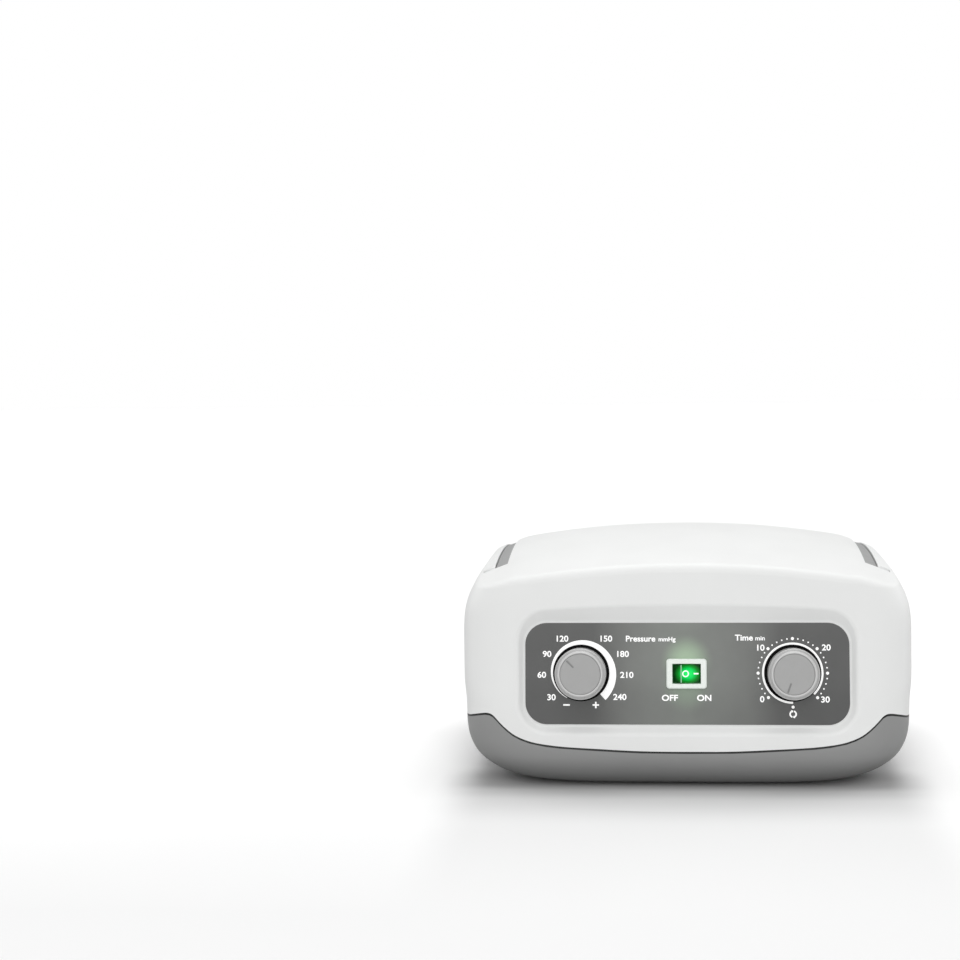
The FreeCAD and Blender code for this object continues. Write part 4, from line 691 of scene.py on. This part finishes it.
ridge = rocker_sign("rocker_ridge", [((x, -4.6), (x, 4.6)) for x in (-3.1, -2.9, -2.7, -2.5)])
ridge.data.materials.clear()
ridge.data.materials.append(ridge_green.m)
for o in (o_sign, i_sign, ridge):
    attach(o, "rocker")

# ------------------------------------------------------------------ floor, light, camera
size = 6.0
bm = bmesh.new()
bmesh.ops.create_grid(bm, x_segments=1, y_segments=1, size=size)
me = bpy.data.meshes.new("floor")
bm.to_mesh(me)
bm.free()
floor = bpy.data.objects.new("floor", me)
bpy.context.scene.collection.objects.link(floor)
fm = Mat("floor_pale", (0.93, 0.93, 0.93), 0.75, spec=0.2)
fm.colour(fm.ramp(fm.noise(3.0, 3.0), [(0.3, (0.915, 0.915, 0.915)), (0.7, (0.945, 0.945, 0.945))]))
# what the floor throws back on to the object is less than what is seen of it
# painted shadow: as seen, the floor darkens in front of the object to a dark band under its front edge, and is lighter
# behind it
_seen_painted_shadow = fm.ramp(fm.remap(fm.axis()[1], -0.30, 0.0, 0.0, 1.0), [
    (0.0, (0.86, 0.86, 0.86)), (0.45, (0.83, 0.83, 0.83)), (0.61, (0.74, 0.74, 0.74)), (0.673, (0.62, 0.62, 0.62)), (0.72, (0.46, 0.46, 0.46)), (0.76, (0.50, 0.50, 0.50)), (0.86, (0.93, 0.93, 0.93)), (1.0, (0.97, 0.97, 0.97))], "EASE")
_seen_painted_shadow = fm.mix(fm.remap(fm.noise(3.0, 3.0), 0.3, 0.7, 0.0, 0.10), _seen_painted_shadow, (0.88, 0.88, 0.88))
# painted light: beside the object the seen floor is lightened to near white, painting out the object's shade there
_wide = fm.remap(fm.math("ABSOLUTE", fm.axis()[0]), 0.103, 0.134, 0.0, 1.0, smooth=True)
_seen_painted_shadow = fm.mix(fm.math("MULTIPLY", _wide, fm.remap(fm.axis()[1], -0.30, -0.12, 0.0, 1.0)), _seen_painted_shadow, (0.995, 0.995, 0.995))
_ray = fm.node("ShaderNodeLightPath").outputs["Is Camera Ray"]
fm.colour(fm.mix(_ray, (0.60, 0.60, 0.60), _seen_painted_shadow))
me.materials.append(fm.m)

world = bpy.data.worlds.new("studio")
bpy.context.scene.world = world
world.use_nodes = True
wt = world.node_tree
bg = wt.nodes["Background"]
bg.inputs["Color"].default_value = (1.0, 1.0, 1.0, 1.0)
bg.inputs["Strength"].default_value = 0.40
back = wt.nodes.new("ShaderNodeBackground")
back.inputs["Color"].default_value = (1.0, 1.0, 1.0, 1.0)
back.inputs["Strength"].default_value = 1.0
lp = wt.nodes.new("ShaderNodeLightPath")
mx = wt.nodes.new("ShaderNodeMixShader")
wt.links.new(lp.outputs["Is Camera Ray"], mx.inputs[0])
wt.links.new(bg.outputs[0], mx.inputs[1])
wt.links.new(back.outputs[0], mx.inputs[2])
wt.links.new(mx.outputs[0], wt.nodes["World Output"].inputs[0])


def soft_sun(name, azimuth, elevation, share, spread):
    """A broad studio light far away; share is what it adds to a white surface that faces it."""
    li = bpy.data.lights.new(name, "SUN")
    li.energy = share * math.pi
    li.angle = math.radians(spread)
    o = bpy.data.objects.new(name, li)
    bpy.context.scene.collection.objects.link(o)
    a, e = math.radians(azimuth), math.radians(elevation)
    way = Vector((math.sin(a) * math.cos(e), -math.cos(a) * math.cos(e), math.sin(e)))
    o.location = way * 2.0
    o.rotation_mode = "QUATERNION"
    o.rotation_quaternion = (-way).to_track_quat("-Z", "Y")
    return o


soft_sun("key_top", 180.0, 74.0, 0.375, 44.0)
soft_sun("front_high", 0.0, 52.0, 0.175, 40.0)
soft_sun("front_fill", 0.0, 12.0, 0.33, 50.0)
soft_sun("side_fill_left", -120.0, 20.0, 0.17, 50.0)
soft_sun("side_fill_right", 120.0, 20.0, 0.23, 50.0)

YAW, PITCH, ROLL = -0.072300, 0.074672, -0.012234
fwd = Vector((math.sin(YAW) * math.cos(PITCH), math.cos(YAW) * math.cos(PITCH), -math.sin(PITCH)))
right = Vector((math.cos(YAW), -math.sin(YAW), 0.0))
up = right.cross(fwd)
right, up = right * math.cos(ROLL) + up * math.sin(ROLL), up * math.cos(ROLL) - right * math.sin(ROLL)
cam = bpy.data.cameras.new("camera")
cam.sensor_fit = "HORIZONTAL"
cam.sensor_width = 36.0
cam.lens = 66.538
cam.shift_x, cam.shift_y = -0.06, 0.0
cam.clip_start, cam.clip_end = 0.02, 30.0
co = bpy.data.objects.new("camera", cam)
bpy.context.scene.collection.objects.link(co)
co.matrix_world = Matrix((
    (right.x, up.x, -fwd.x, -0.010105),
    (right.y, up.y, -fwd.y, -1.004741),
    (right.z, up.z, -fwd.z, 0.230379),
    (0.0, 0.0, 0.0, 1.0),
))
bpy.context.scene.camera = co
bpy.context.scene.view_settings.view_transform = "Standard"
bpy.context.scene.view_settings.look = "None"
